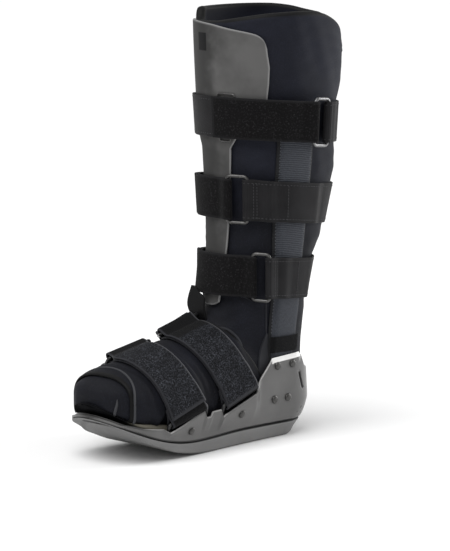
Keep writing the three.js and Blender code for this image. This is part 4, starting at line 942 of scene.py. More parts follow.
def freeShare(p):  # 1 on open cloth, 0 under straps, plate and uprights
    x, y, z = np.moveaxis(p, -1, 0)
    angle = np.arctan2(np.abs(x), 12 - y)
    share = np.ones_like(x)
    for strap in legStraps.values():
        share = share * smoothStep(np.abs(z - strapHeight(strap, angle)) - strapLook["legWidth"] / 2, 0.5, 15)
    wide = tableLine(plateTable, 1, z)
    onPlate = (1 - smoothStep(np.abs(x - plateLook["shift"]) - wide, 1, 12)) * (y < 12)
    onPlate = onPlate * smoothStep(z, 126, 133) * (1 - smoothStep(z, 396, 408))
    off = np.abs(y - tableLine(uprightTable, 1, z)) - tableLine(uprightTable, 2, z)
    onBar = (1 - smoothStep(off, 1, 13)) * smoothStep(z, 40, 48) * (1 - smoothStep(z, 328, 336))
    onBar = onBar * (np.abs(x) > 20)
    return share * (1 - np.clip(onPlate, 0, 1)) * (1 - np.clip(onBar, 0, 1)) * smoothStep(z, 92, 118)


def puffAt(p):  # how far the padding stands out: a swell on open cloth, a crown behind the rim, soft waves
    free = freeShare(p)
    puff = linerLook["swell"] * free * (0.75 + 0.25 * ripple(p, 60, 3))
    puff = puff + free * 0.5 * ripple(p * np.array([1, 1, 2.2]), 26, 5)
    y, z = p[..., 1], p[..., 2]
    crown = smoothStep(z, 338, 372) * (1 - smoothStep(z, 396, 423)) * smoothStep(y, 0, 60)
    return (puff + linerLook["crown"] * crown) * smoothStep(z, 60, 100)


def sockNormal(p):  # slope of the sock measure, of length one
    steps = np.eye(3) * 0.5
    return unit(np.stack([sockMeasure(p + s, 0.0) - sockMeasure(p - s, 0.0) for s in steps], -1))


def edgeLine(points, count):  # smooth line through the places, at even steps
    points = np.array(points, float)
    length = np.concatenate([[0], np.cumsum(np.linalg.norm(np.diff(points, axis=0), axis=1))])
    at = np.linspace(0, length[-1], count or int(length[-1] / 1.2))
    return at, np.stack([tableCurve(list(zip(length, points[:, k])), 1, at) for k in range(3)], -1)


def ontoPadding(p, out):  # on to the sock, by the measure over its slope, then out by the padding
    for _ in range(4):
        normal = sockNormal(p)
        slope = (sockMeasure(p + normal, 0.0) - sockMeasure(p - normal, 0.0)) / 2
        p = p + normal * ((1 - sockMeasure(p, 0.0)) / slope)[..., None]
    return p + normal * (puffAt(p) + out)[..., None], normal


def edgeTube(points, radius, out):  # round edge along a line on the padding, thin at both ends
    at, path = edgeLine(points, None)
    path, normal = ontoPadding(path, out)
    thin = np.sqrt(np.clip(np.minimum(at, at[-1] - at) / 7, 0.04, 1))
    return turnedOver(tubeGrid(path, radius * thin, 8, False, normal))


def edgePatch(first, second, out, marks):  # thin sheet between two lines on the padding
    a, b = (edgeLine(points, 30)[1] for points in (first, second))
    share = spread(1.0, 0.08, 10)
    middle, normals = ontoPadding(a[:, None] * (1 - share[:, None]) + b[:, None] * share[:, None], out)
    if np.einsum("ijk,ijk->", gridNormals(middle), normals) > 0:
        middle, normals, share = middle[:, ::-1], normals[:, ::-1], share[::-1]
    wide = np.linalg.norm(middle[:, -1] - middle[:, 0], axis=-1)[:, None]
    return sheetGrids(middle, normals, 0.8, wide * np.minimum(share, 1 - share), 0.5, None, marks)


def makeLiner():
    wall, rimZ = sockLook["wall"], sockLook["rimZ"]
    turn = np.linspace(0, 2 * np.pi, linerLook["columns"], endpoint=False)[None, :]
    legZ = np.linspace(rimZ - wall / 2, sockLook["creaseZ"], 150)
    footY = -np.concatenate([np.linspace(80, 205, 62), np.linspace(206, 218.5, 20)])
    rows = np.concatenate([legSection(legZ), ankleSection(np.linspace(0, 90, 52))[1:-1], footSection(footY)])
    outer = sockPoint(rows[:, None], turn)
    normals = gridNormals(outer, closeCols=True)
    puff = puffAt(outer)
    tape = smoothStep(outer[..., 2], rimZ - linerLook["tapeWidth"] - 0.6, rimZ - linerLook["tapeWidth"])
    puff = puff * (1 - tape) + tape * linerLook["tape"]
    outer = outer + normals * puff[..., None]
    # rim: half a circle from the outside over to the inside
    q = np.radians(np.linspace(0, 180, 13))[1:-1]
    topRow = legSection(np.full(len(q), rimZ - wall / 2))
    rim = sockPoint(topRow[:, None], turn, (-wall / 2 + (wall / 2 + linerLook["tape"]) * np.cos(q))[:, None])
    rim[..., 2] += ((wall / 2) * np.sin(q))[:, None]
    # inside, coarser, from the rim down to the toe
    legIn = np.linspace(rimZ - wall / 2, sockLook["creaseZ"], 60)
    rowsIn = np.concatenate([legSection(legIn), ankleSection(np.linspace(0, 90, 30))[1:-1],
                             footSection(-np.linspace(80, 206, 40))])
    tapeIn = smoothStep(legIn, rimZ - linerLook["tapeWidth"] - 3, rimZ - linerLook["tapeWidth"])
    tapeIn = np.concatenate([tapeIn, np.zeros(len(rowsIn) - len(legIn))])[:, None]
    inner = sockPoint(rowsIn[:, None], turn, -wall - linerLook["tape"] * tapeIn)
    wave = ripple(inner, 45, 9)[..., None] * 0.35
    inner = inner + wave * gridNormals(inner, closeCols=True) * (1 - tapeIn[..., None])
    p = np.concatenate([outer[::-1], rim, inner])
    # blunt toe: the last outside section shrinks to a point on a slight dome, and so does the inside
    shrink = np.linspace(0.04, 0.92, 12)[:, None, None]
    def close(ring, out):
        middle = ring.mean(0)
        cap = middle + (ring - middle) * shrink
        cap[..., 1] -= out * (1 - shrink[..., 0] ** 2)
        tip = np.repeat(middle[None, None] - np.array([0, out, 0]), ring.shape[0], 1)
        return np.concatenate([tip, cap])
    p = np.concatenate([close(p[0], 1.6), p, close(p[-1], 0.6)[::-1]])
    p[..., 2] -= rimFall(turn, p[..., 2])
    around = np.concatenate([np.linalg.norm(np.diff(p[len(p) // 3], axis=0), axis=1), [0]]).cumsum()
    down = np.concatenate([[0], np.linalg.norm(np.diff(p[:, 0], axis=0), axis=1)]).cumsum()
    uv = np.stack(np.broadcast_arrays(down[:, None], around[None, :]), -1)
    z = p[..., 2] + rimFall(turn, p[..., 2])
    marks = {"binding": smoothStep(z, rimZ - linerLook["tapeWidth"] - 0.4, rimZ - linerLook["tapeWidth"])}
    # each edge tube carries its share of painted sheen
    edges = [{**edgeTube(points, radius, 1.3 if key == "arch" else 0.2 * radius), "marks": {"piping": sheenShare}}
             for key, (radius, sheenShare, points) in linerEdges.items()]
    lines = {key: row[2] for key, row in linerEdges.items()}
    # the leaf fold's sheet carries painted sheen as well
    edges += edgePatch(lines["leafFront"], lines["leafRear"], 0.7, {"piping": 0.62})
    # painted shade: a dark sheet with the binding colour fills the hole inside the arch
    edges += edgePatch(lines["arch"], lines["arch"][::len(lines["arch"]) - 1], 0.9, {"binding": 1.0})
    grids = [{"p": p, "closeCols": True, "uv": uv, "marks": marks}] + edges
    piece = makePiece("liner_padding", grids, knit, "liner")


makeLiner()
print("liner made")

# foot wrap: padded sheet over the forefoot with rolled, taped borders
wrapLook = {"thick": 3.0, "turn": 98, "lower": 32, "front": -204, "rearTilt": 58, "roll": 2.2,
            "fold": 1.7, "foldPitch": 11.5}


def besideStraps(p):  # place along the foot from each strap's middle, and 1 where no strap lies
    share, along = np.ones(p.shape[:-1]), []
    for strap in footStraps.values():
        top, low = np.array(strap["top"]), np.array(strap["low"])
        up = unit(top - low)
        lean = (p[..., 1] - low[0]) * up[1] - (p[..., 2] - low[1]) * up[0]
        lean = lean - strap["slide"] * np.clip((p[..., 2] - strap["middle"]) / 40, 0, 1)
        along.append(lean)
        share = share * smoothStep(np.abs(lean) - strapLook["footWidth"] / 2, -2, 4)
    return along[0], share


# round piping across the wrap, its sides lying further forward than its top
def wrapPiping(front, drop, radius):
    turn = np.radians(np.linspace(-1, 1, 120) * (wrapLook["turn"] + wrapLook["lower"] - 4))
    y = front - drop * smoothStep(np.abs(np.degrees(turn)), 12, 88)
    path = sockPoint(footSection(y), turn, gap + wrapLook["thick"] + 0.2 * radius)
    thin = np.sqrt(np.clip(np.linspace(0, 1, 120) * np.linspace(1, 0, 120) * 90, 0.05, 1))
    tube = turnedOver(tubeGrid(path, radius * thin, 8, False, sockNormal(path)))
    # the piping carries painted sheen over its binding colour
    return {**tube, "marks": {"piping": 1.0, "binding": 1.0}}


def makeWrap():
    length = 190.0
    at = spread(length, 5.0, 92)
    frontLength = -80 - wrapLook["front"]
    y = wrapLook["front"] + np.minimum(at, frontLength)
    tilt = 90 - np.maximum(at - frontLength, 0) / (length - frontLength) * (90 - wrapLook["rearTilt"])
    rows = np.where((at <= frontLength)[:, None], footSection(y), ankleSection(tilt))
    # it reaches lower in front of and between the straps
    lower = smoothStep(-y, 164, 173) + smoothStep(-y, 95, 101) * (1 - smoothStep(-y, 110, 116))
    reach = wrapLook["turn"] + wrapLook["lower"] * lower
    turn = np.radians(spread(2.0, 0.03, 96) - 1)[None, :] * reach[:, None]
    middle = sockPoint(rows[:, None], turn, gap + wrapLook["thick"] / 2)
    normals = -gridNormals(middle)
    # folds run beside the straps, strongest where the cloth is free
    beside, loose = besideStraps(middle)
    fold = np.sin(2 * np.pi * (beside + 3 * ripple(middle, 55, 11)) / wrapLook["foldPitch"])
    fold = fold * (0.6 + 0.4 * ripple(middle, 30, 13))
    loose = loose * smoothStep(middle[..., 1], -196, -186) * smoothStep(-middle[..., 1], 45, 60)
    middle = middle + normals * (loose * wrapLook["fold"] * (fold * 0.7 + 0.7))[..., None]
    normals = -gridNormals(middle)
    across = np.linalg.norm(np.diff(middle, axis=1, prepend=middle[:, :1]), axis=-1).cumsum(1)
    border = np.minimum(np.minimum(at, length - at)[:, None], np.minimum(across, across[:, -1:] - across))
    uv = np.stack(np.broadcast_arrays(at[:, None], across), -1)
    taped = 1 - smoothStep(border, 3.6, 4.2)
    grids = sheetGrids(middle, normals, wrapLook["thick"], border, wrapLook["roll"], uv, {"binding": taped})
    grids.append(wrapPiping(-191.5, 9.0, 1.2))
    piece = makePiece("foot_wrap_pad", grids, wrapKnit, "foot_wrap")


makeWrap()


# shin plate: thin stiff sheet that follows the front of the leg
def makePlate():
    share = np.sin(np.linspace(-np.pi / 2, np.pi / 2, 91))
    body = spread(1.0, 0.012, 130)[:, None] * np.ones_like(share)
    topZ = tableCurve(plateTop, 1, share)
    low = 135 + 4 * np.abs(share) ** 4
    z = low + (topZ - low) * body
    wide = tableLine(plateTable, 1, np.minimum(z, 384)) - plateLook["crownInset"] * smoothStep(z, 372, 404)
    x = plateLook["shift"] + share[None, :] * wide
    origin = np.stack(np.broadcast_arrays(x, 12.0, z), -1)
    middle = rayOut(origin, np.array([0, -1.0, 0]), stiffGap + plateLook["thick"] / 2)
    normals = -gridNormals(middle)
    side = (1 - np.abs(share))[None, :] * wide
    up = np.minimum(z - low, topZ - z)
    border = np.minimum(side, up)
    uv = np.stack(np.broadcast_arrays(z, x), -1)
    # painted highlight: the rim mark pales the plate's border
    marks = {"rim": (1 - smoothStep(border, 0.3, 1.5)) * 0.8}
    grids = sheetGrids(middle, normals, plateLook["thick"], border, 1.4, uv, marks)
    return makePiece("shin_plate_sheet", grids, plateSheet, "shin_plate")


makePlate()


# uprights: a stiff bar in a ribbed sleeve, full in the middle, thin at its stitched borders
sleeveLook = {"border": 1.4, "low": 46, "high": 326}


def onSide(side, y, z, out):  # point on the side of the sock straight out from the middle plane
    origin = np.stack(np.broadcast_arrays(0.0, y, z), -1)
    return rayOut(origin, np.array([1.0, 0, 0]), out) * np.array([side, 1, 1])


def makeUpright(side, label):
    z = sleeveLook["low"] + spread(sleeveLook["high"] - sleeveLook["low"], 2.0, 120)
    share = np.array([-1, -0.985, -0.95, -0.9, -0.84, -0.8, -0.76, -0.7, -0.55, -0.35, -0.12,
                      0.12, 0.35, 0.55, 0.7, 0.76, 0.8, 0.84, 0.9, 0.95, 0.985, 1])
    middleY, half, full = (tableLine(uprightTable, k, z)[:, None] for k in (1, 2, 3))
    y = middleY + share[None, :] * half
    body = 1 - smoothStep(np.abs(share), 0.72, 0.86)[None, :]
    thick = sleeveLook["border"] + (full - sleeveLook["border"]) * body
    edge = np.sqrt(np.clip(1 - ((np.abs(share) - 0.9) / 0.1).clip(0, 1) ** 2, 0, 1))[None, :]
    endCap = np.sqrt(np.clip(1 - (1 - np.minimum(z - z[0], z[-1] - z) / 2).clip(0, 1) ** 2, 0, 1))[:, None]
    thick = thick * edge * endCap
    inner = onSide(side, y, z[:, None] + 0 * y, stiffGap)
    outer = onSide(side, y, z[:, None] + 0 * y, stiffGap + thick)
    uv = np.stack(np.broadcast_arrays(z[:, None], y), -1)
    marks = {"selvedge": np.broadcast_to(smoothStep(np.abs(share), 0.84, 0.9)[None, :], y.shape)}
    grids = [{"p": outer, "uv": uv, "marks": marks},
             {"p": inner[:, ::-1], "uv": uv[:, ::-1], "marks": {"selvedge": marks["selvedge"][:, ::-1]}}]
    return makePiece("upright_sleeve_" + label, grids, sleeve, "upright_" + label)


def makeCuff(side, label):
    z = 88 + spread(16, 1.0, 14)
    share = np.linspace(-1, 1, 31)
    middleY = tableLine(uprightTable, 1, z)[:, None]
    full = np.maximum(tableLine(uprightTable, 3, z), 4.05)[:, None]
    y = middleY + share[None, :] * 19
    body = 1 - smoothStep(np.abs(share), 0.78, 1.0)[None, :]
    base = stiffGap + 2 * gap + 2.0 + (full - 2.0) * body
    border = np.minimum(np.minimum(z - 88, 104 - z)[:, None], ((1 - np.abs(share)) * 19)[None, :])
    thick = 1.4 * np.sqrt(np.clip(1 - (1 - border / 0.9).clip(0, 1) ** 2, 0, 1))
    inner = onSide(side, y, z[:, None] + 0 * y, base + 0.7 - thick / 2)
    outer = onSide(side, y, z[:, None] + 0 * y, base + 0.7 + thick / 2)
    uv = np.stack(np.broadcast_arrays(z[:, None], y), -1)
    grids = [{"p": outer, "uv": uv}, {"p": inner[:, ::-1], "uv": uv[:, ::-1]}]
    return makePiece("upright_cuff_pile_" + label, grids, pile, "upright_cuff_" + label)


def sewUpright(side, label):  # a row of stitches near each border, from the cuff to the top
    z = np.arange(108.0, 322.0, 3.3)
    middleY, half = (tableLine(uprightTable, k, z) for k in (1, 2))
    grids = []
    for share in (-0.885, 0.885):
        line = onSide(1, middleY + share * half, z, stiffGap + sleeveLook["border"] + 0.15)
        along, normals = unit(np.gradient(line, axis=0)), sockNormal(line)
        mirror = np.array([side, 1, 1])
        grids += stitchGrids(line * mirror, along * mirror, normals * mirror, 2.1, 0.9, 0.6)
    return makePiece("upright_stitches_" + label, grids, sleeveThread, None)


for side, label in ((1, "left"), (-1, "right")):
    makeUpright(side, label)
    makeCuff(side, label)
    sewUpright(side, label)
print("wrap, plate and uprights made")

# ribbons: routes are lists of (angle, distance off the sock), smoothed and swept by a flat rounded section
turnRadius = strapLook["wireRadius"] + 2.8 * gap + strapLook["thick"] / 2
farTurnRadius = turnRadius + 4 * gap
layer = strapLook["thick"] + gap
routeLook = {"legReach": 64, "legLoop": 18, "footReach": 48, "footLoop": 16, "turnRoom": 8, "barRoom": 3,
             "margin": 4, "fade": 16}


def legPlace(strap):
    rows = legSection(np.array([max(strap["z"], sockLook["creaseZ"])]))[0]
    def place(angle, across, out):
        angle, across, out = np.broadcast_arrays(angle, across, out)
        z = strapHeight(strap, angle) + across
        origin = np.stack(np.broadcast_arrays(0.0, (rows[0] + rows[2]) / 2, z), -1)
        ray = np.stack([np.sin(angle), -np.cos(angle), 0 * angle], -1)
        return rayOut(origin, ray, out)
    return place


def footPlace(strap):
    top, low = np.array(strap["top"]), np.array(strap["low"])
    up = unit(top - low)
    share = (strap["middle"] - low[1]) / (top[1] - low[1])
    middle = low + (top - low) * share
    def place(angle, across, out):
        angle, across, out = np.broadcast_arrays(angle, across, out)
        far = -np.degrees(angle)
        twist = strap["twist"] * smoothStep(far, 5, 55) * (1 - smoothStep(far, 66, 110))
        slid = across + strap["slide"] * np.maximum(np.cos(angle), 0) + twist
        origin = np.stack(np.broadcast_arrays(0.0, middle[0] + up[1] * slid, middle[1] - up[0] * slid), -1)
        ray = np.stack([np.sin(angle), up[0] * np.cos(angle), up[1] * np.cos(angle)], -1)
        return rayOut(origin, ray, out)
    return place


def plateau(angle, middle, half, fade):
    return 1 - smoothStep(np.abs(angle - middle), half, half + fade)


def underStrap(strap, degrees):  # height of what the strap lies on: plate in front, uprights at the sides
    turned = (degrees + 180) % 360 - 180
    row = legSection(np.array(float(strap["z"])))
    middleY = (row[0] + row[2]) / 2
    highest = strap["z"] + strapLook["legWidth"] / 2 + strap["fall"] * strapReach
    plateAngle = np.degrees(np.arcsin(tableLine(plateTable, 1, highest) / row[4]))
    shiftAngle = np.degrees(np.arcsin(plateLook["shift"] / row[4]))
    barY, barHalf, barTop = (tableLine(uprightTable, k, strap["z"]) for k in (1, 2, 3))
    def edgeAngle(y):
        x = onSide(1, np.array(y), np.array(float(strap["z"])), 0.0)[0]
        return np.degrees(np.arctan2(x, middleY - y))
    first, second = edgeAngle(barY - barHalf), edgeAngle(barY + barHalf)
    margin, fade = routeLook["margin"], routeLook["fade"]
    onBar = plateau(np.abs(turned), (first + second) / 2, (second - first) / 2 + margin, fade)
    onPlate = plateau(turned, shiftAngle, plateAngle + margin, fade)
    return 3 * gap + np.maximum(onPlate * (stiffGap + plateLook["thick"]), onBar * (stiffGap + barTop))


def barTurn(degrees, low, side, reach, radius=None):  # half a turn round a ring bar
    radius = radius or turnRadius
    q = np.radians(np.linspace(0, 180, 9))
    angle = degrees + np.degrees(side * radius * np.sin(q) / reach)
    return list(zip(angle, low + radius * (1 - np.cos(q))))


def legRoute(strap):
    half = np.degrees(strapLook["ringWidth"] / 2 / routeLook["legReach"])
    front, rear = strap["ring"] - half, strap["ring"] + half
    room, loop = routeLook["turnRoom"], routeLook["legLoop"]
    def base(d):
        return underStrap(strap, d) + strapLook["thick"] / 2
    def along(a, b, n, lift):
        d = np.linspace(a, b, n + 1)
        return list(zip(d, base(d) + lift))
    rearLow, frontLow = float(base(rear)), float(max(base(front), base(front - room)))
    loopEnd, frontEnd = rear + loop, front + 360 - room
    main = along(loopEnd, rear + routeLook["barRoom"], 3, 0) + barTurn(rear, rearLow, -1, routeLook["legReach"])
    main += along(rear + room, loopEnd, 2, layer + 0.3)
    main += along(loopEnd + room, frontEnd, round((frontEnd - loopEnd) / 7), 0)
    turned = len(main)
    main += barTurn(front + 360, frontLow, 1, routeLook["legReach"])
    main += along(frontEnd, strap["end"] + 360, round((frontEnd - strap["end"] - 360) / 7), layer)
    return main, turned, (front, frontLow), (rear, rearLow)


def footRoute(strap):
    half = np.degrees(strapLook["ringWidth"] / 2 / routeLook["footReach"])
    near, far = strap["ring"] + half, strap["ring"] - half
    room, loop, bar, reach = routeLook["turnRoom"], routeLook["footLoop"], strap["bar"], routeLook["footReach"]
    def base(d):
        on = plateau(d, 0, wrapLook["turn"] + routeLook["margin"], routeLook["fade"])
        return 4 * gap + on * (gap + wrapLook["thick"]) + strapLook["thick"] / 2
    def lifted(d):
        return base(d) + layer * plateau(d, bar, loop, routeLook["fade"])
    def along(a, b, n, height):
        d = np.linspace(a, b, n + 1)
        return list(zip(d, height(d) + 0 * d))
    low = float(base(bar - room))
    main = along(bar - loop, bar - routeLook["barRoom"], 3, lambda d: low) + barTurn(bar, low, 1, reach)
    main += along(bar - room, near + room, 18, lifted)
    main += barTurn(near, float(base(near)), -1, reach, farTurnRadius)
    turned = len(main)
    fold = low + 2 * turnRadius - layer
    main += along(near + room + routeLook["barRoom"], bar - 2 * room - 2, 18, lambda d: lifted(d) + layer + 0.3)
    main += along(bar - room - 4, bar + strap["stop"], 2, lambda d: (
        lifted(d) + layer + 0.3 + (fold - lifted(d)) * smoothStep(d, bar - 16, bar - 2)))
    other = along(far - loop, far - routeLook["barRoom"], 3, lambda d: float(base(far)))
    other += barTurn(far, float(base(far)), 1, reach, farTurnRadius)
    other += along(far - room, room - bar, 6, lambda d: lifted(-d) + layer)
    other += barTurn(-bar, low, -1, reach)[::-1]
    other += along(routeLook["barRoom"] - bar, loop - bar, 3, lambda d: low)
    return main, other, turned, near, far, low, float(base(strap["ring"])) + farTurnRadius


def smoothRoute(route, reach, step=1.5):  # the route again at even steps, as a Hermite curve over its length
    route = np.array(route)
    flat = np.stack([np.radians(route[:, 0]) * reach, route[:, 1]], -1)
    length = np.concatenate([[0], np.cumsum(np.maximum(np.linalg.norm(np.diff(flat, axis=0), axis=1), 1e-3))])
    at = np.linspace(0, length[-1], int(length[-1] / step))
    angle = tableCurve(list(zip(length, np.radians(route[:, 0]))), 1, at)
    out = tableCurve(list(zip(length, route[:, 1])), 1, at)
    return at, angle, out, length


# flat section with round edges: place across the width and distance from the middle sheet
def flatSection(width, thick, count=13):
    r = thick / 2
    edge = np.linspace(-np.pi / 2, np.pi / 2, 5)
    inner = np.linspace(-width / 2 + 3.2, width / 2 - 3.2, count)
    face = np.concatenate([[-width / 2 + r, -width / 2 + 2.0, -width / 2 + 2.6], inner,
                           [width / 2 - 2.6, width / 2 - 2.0]])
    across = np.concatenate([face, width / 2 - r + r * np.cos(edge), face[::-1][:-1],
                             -width / 2 + r - r * np.cos(edge)[:-1]])
    off = np.concatenate([np.full(len(face), -r), r * np.sin(edge), np.full(len(face) - 1, r),
                          -r * np.sin(edge)[:-1]])
    return across, off


# the ribbon keeps its width: it is laid from the held share of its own width on the sock
def ribbonPiece(name, place, route, width, material, node, reach, turned, held=0.5):
    at, angle, out, length = smoothRoute(route, reach)
    low, high = place(angle, -width / 2, out), place(angle, width / 2, out)
    wide = unit(high - low) * width
    low = low * (1 - held) + high * held - wide * held
    high = low + wide
    along = unit(np.gradient(low + high, axis=0))
    normal = unit(np.cross(along, unit(high - low)))
    across, off = flatSection(width, strapLook["thick"])
    share = across / width + 0.5
    p = low[:, None] * (1 - share[None, :, None]) + high[:, None] * share[None, :, None]
    flat = p.copy()
    p = p + normal[:, None] * off[None, :, None]
    p = np.concatenate([flat[:1], p, flat[-1:]])
    at2 = np.concatenate([at[:1], at, at[-1:]])
    uv = np.stack(np.broadcast_arrays(at2[:, None], across[None, :]), -1)
    tailAt = length[min(turned + 3, len(length) - 1)]
    tail = smoothStep(at2, tailAt, tailAt + 1.5)
    ends = np.minimum(at2 - at2[0], at2[-1] - at2)[:, None]
    border = np.minimum(ends, (width / 2 - np.abs(across))[None, :])
    # the edge mark is a painted highlight along the strap's high side
    marks = {"pile": np.broadcast_to(tail[:, None], p.shape[:2]), "selvedge": 1 - smoothStep(border, 1.6, 2.3),
             "edge": np.broadcast_to((smoothStep(across - width / 2, -1.1, -0.5))[None, :], p.shape[:2])}
    piece = makePiece(name, [{"p": p, "closeCols": True, "uv": uv, "marks": marks}], material, node, 55)
    length[-1] * mm
    return {"at": at, "low": low, "high": high, "along": along, "normal": normal, "loopAt": length[12]}


# wire ring: a rounded rectangle of round wire whose long bars lie on two lines of a strap
def ringPath(centre, wide, tall, width, height, corner=4.0):
    q = np.radians(np.linspace(0, 90, 7))
    signs = [(1, 1, 0), (-1, 1, 90), (-1, -1, 180), (1, -1, 270)]
    flat = np.concatenate([np.stack([sx * (width / 2 - corner) + corner * np.cos(q + np.radians(s)),
                                     sy * (height / 2 - corner) + corner * np.sin(q + np.radians(s))], -1)
                           for sx, sy, s in signs])
    dense = []
    for a, b in zip(flat, np.roll(flat, -1, 0)):  # long sides get a few points of their own
        n = max(1, int(np.linalg.norm(b - a) / 4))
        dense.append(a + (b - a) * np.linspace(0, 1, n, endpoint=False)[:, None])
    flat = np.concatenate(dense)
    return centre + flat[:, :1] * wide + flat[:, 1:] * tall, np.cross(wide, tall)


def ringAcross(place, first, second, width):  # ring whose long bars lie at two angles of a strap
    (a0, a1), (b0, b1) = ([place(np.radians(d), s * width, o) for s in (-0.5, 0.5)] for d, o in (first, second))
    am, bm = (a0 + a1) / 2, (b0 + b1) / 2
    tall = unit(a1 - a0 + b1 - b0)
    return ringPath((am + bm) / 2, unit(bm - am), tall, np.linalg.norm(bm - am),
                    width + 2 * (strapLook["wireRadius"] + 1))


def ringPiece(name, path, up, node, material):
    return makePiece(name, [tubeGrid(path, strapLook["wireRadius"] + 0.2, 12, True, up)], material, node)


def stitchSeam(name, spots, margin, width, crossAt, pitch=3.4):  # two long seams and a few across the strap
    def along(line, at):
        return np.stack([np.interp(at, spots["at"], line[:, k]) for k in range(3)], -1)
    face = spots["normal"] * spots["side"]
    rise = face * (strapLook["thick"] / 2 + 0.1)
    at = np.arange(0, spots["at"][-1], pitch)
    grids = []
    for share in (margin / width, 1 - margin / width):
        line = spots["low"] * (1 - share) + spots["high"] * share + rise
        grids += stitchGrids(along(line, at), unit(along(spots["along"], at)), unit(along(face, at)))
    share = np.arange(margin, width - margin, 3.0) / width
    for place in crossAt:
        here = np.full(len(share), place)
        low, high = along(spots["low"] + rise, here), along(spots["high"] + rise, here)
        grids += stitchGrids(low + (high - low) * share[:, None], unit(high - low),
                             unit(along(face, here)), 2.4, 0.9, 0.6)
    return makePiece(name, grids, thread, None)


def outwardSide(spots):  # +1 when the ribbon's normal points away from the leg or foot
    middle = (spots["low"] + spots["high"]) / 2
    return 1.0 if np.einsum("ij,ij->", middle - middle.mean(0), spots["normal"]) > 0 else -1.0


for name, strap in legStraps.items():
    place = legPlace(strap)
    route, turned, front, rear = legRoute(strap)
    spots = ribbonPiece("leg_strap_%s_webbing" % name, place, route, strapLook["legWidth"], webbing,
                        "leg_strap_" + name, routeLook["legReach"], turned)
    path, up = ringAcross(place, (front[0], front[1] + turnRadius), (rear[0], rear[1] + turnRadius),
                          strapLook["legWidth"])
    # painted light: the top ring takes the lit wire, the others the shaded copy
    ringPiece("leg_ring_%s_wire" % name, path, up, "leg_ring_" + name, wire if name == "top" else shadedWire)
    spots["side"] = outwardSide(spots)
    loop = spots["loopAt"]
    stitchSeam("leg_strap_%s_stitches" % name, spots, 3.4, strapLook["legWidth"],
               (loop + 6, loop + 9.5, loop + 40))

# hoops that peep out above and below the top strap: ends of a ring lying under it
hoopLook = {"above": (4, 19, 1), "below": (5, 15, -1), "out": 5.5, "radius": 0.9, "tuck": 19.6, "reach": 23.4}


def makeHoops():
    place = legPlace(legStraps["top"])
    grids = []
    for first, last, way in (hoopLook["above"], hoopLook["below"]):
        q = np.linspace(0, np.pi, 25)
        angle = (first + last) / 2 - (last - first) / 2 * np.sign(np.cos(q)) * np.abs(np.cos(q)) ** 0.35
        across = hoopLook["tuck"] + (hoopLook["reach"] - hoopLook["tuck"]) * np.sin(q) ** 0.35
        path = place(np.radians(angle), way * across, hoopLook["out"])
        grids.append(tubeGrid(path, hoopLook["radius"], 8, False, sockNormal(path)))
    # the hoops take the shaded copy of the wire: painted shade
    return makePiece("leg_ring_top_hoops_wire", grids, shadedWire, None)


makeHoops()

for name, strap in footStraps.items():
    place = footPlace(strap)
    main, other, turned, near, far, low, ringOut = footRoute(strap)
    ribbonPiece("foot_strap_%s_pile" % name, place, main, strapLook["footWidth"], pile,
                "foot_strap_" + name, routeLook["footReach"], turned, 0.15)
    ribbonPiece("foot_strap_%s_far_pile" % name, place, other, strapLook["footWidth"], pile,
                "foot_strap_%s_far" % name, routeLook["footReach"], len(other) - 1, 0.15)
    path, up = ringAcross(place, (near, ringOut), (far, ringOut), strapLook["footWidth"])
    across = unit(place(np.radians(far), 20.0, ringOut) - place(np.radians(far), -20.0, ringOut))
    path = path + across * strap["ringShift"]
    ringPiece("foot_ring_%s_far_wire" % name, path, up, "foot_ring_%s_far" % name, blackWire)
    for side, label in ((1, "left"), (-1, "right")):
        angle = np.radians(side * strap["bar"])
        high, deep = (place(angle, s * strapLook["footWidth"], low + turnRadius) for s in (0.5, -0.5))
        tall = unit(high - deep)
        upper = (high + deep) / 2
        down = np.array([0, tall[2], -tall[1]]) * np.sign(tall[1])
        lower = upper + down * 13
        plan = plans["shell"]
        shellX = tableCurve([plan["heel"][:2]] + plan["waist"] + [plan["toe"][:2]], 1, lower[1])
        lower[0] = side * (shellX - wallLook["thick"] - strapLook["wireRadius"] + 2)
        wide = lower - upper
        path, up = ringPath((upper + lower) / 2, unit(wide), tall, np.linalg.norm(wide),
                            strapLook["footWidth"] + 2 * (strapLook["wireRadius"] + 0.8))
        node = "shell_ring_%s_%s" % (name, label)
        ringPiece(node + "_wire", path, up, node, blackWire)
print("straps and rings made")

# rivets: low domes with a rolled foot on the shell wall
rivetLook = {"radius": 4.0, "height": 1.9}
rivetPlaces = {"wing_front": (-135, 26.5), "wing_rear": (-67, 34), "tab_upper_front": (-14, 75.5),
               "tab_upper_rear": (5, 75.5),
               "tab_lower_front": (-19, 42), "tab_lower_rear": (-1, 42)}


def shellAt(y, z):  # outside of the shell wall at a place seen from the side
    i = len(heelTurn) + np.argmin(np.abs(waistY - y))
    height = np.full(stationCount, z - float(shellLow(y)))
    return wallAt(height)[i]


def makeRivet(name, y, z, side, label):
    here = shellAt(y, z)
    normal = unit(np.cross(shellAt(y - 3, z) - shellAt(y + 3, z), shellAt(y, z + 2) - shellAt(y, z - 2)))
    normal = normal * np.sign(normal[0])
    q = np.linspace(0, np.pi / 2, 8)
    r = np.concatenate([[0, rivetLook["radius"]], rivetLook["radius"] * np.cos(q) ** 0.6, [0]])
    h = np.concatenate([[0, 0], 0.25 + (rivetLook["height"] - 0.25) * np.sin(q), [rivetLook["height"]]])
    turn = np.linspace(0, 2 * np.pi, 20, endpoint=False)
    a = unit(np.cross(normal, np.array([0, 1.0, 0])))
    b = np.cross(normal, a)
    ring = np.cos(turn)[:, None] * a + np.sin(turn)[:, None] * b
    p = here + normal * (gap + h)[:, None, None] + r[:, None, None] * ring
    p = p * np.array([side, 1, 1])
    return makePiece("rivet_%s_%s_dome" % (name, label), [{"p": p, "closeCols": True}], rivetMetal,
                     "rivet_%s_%s" % (name, label))


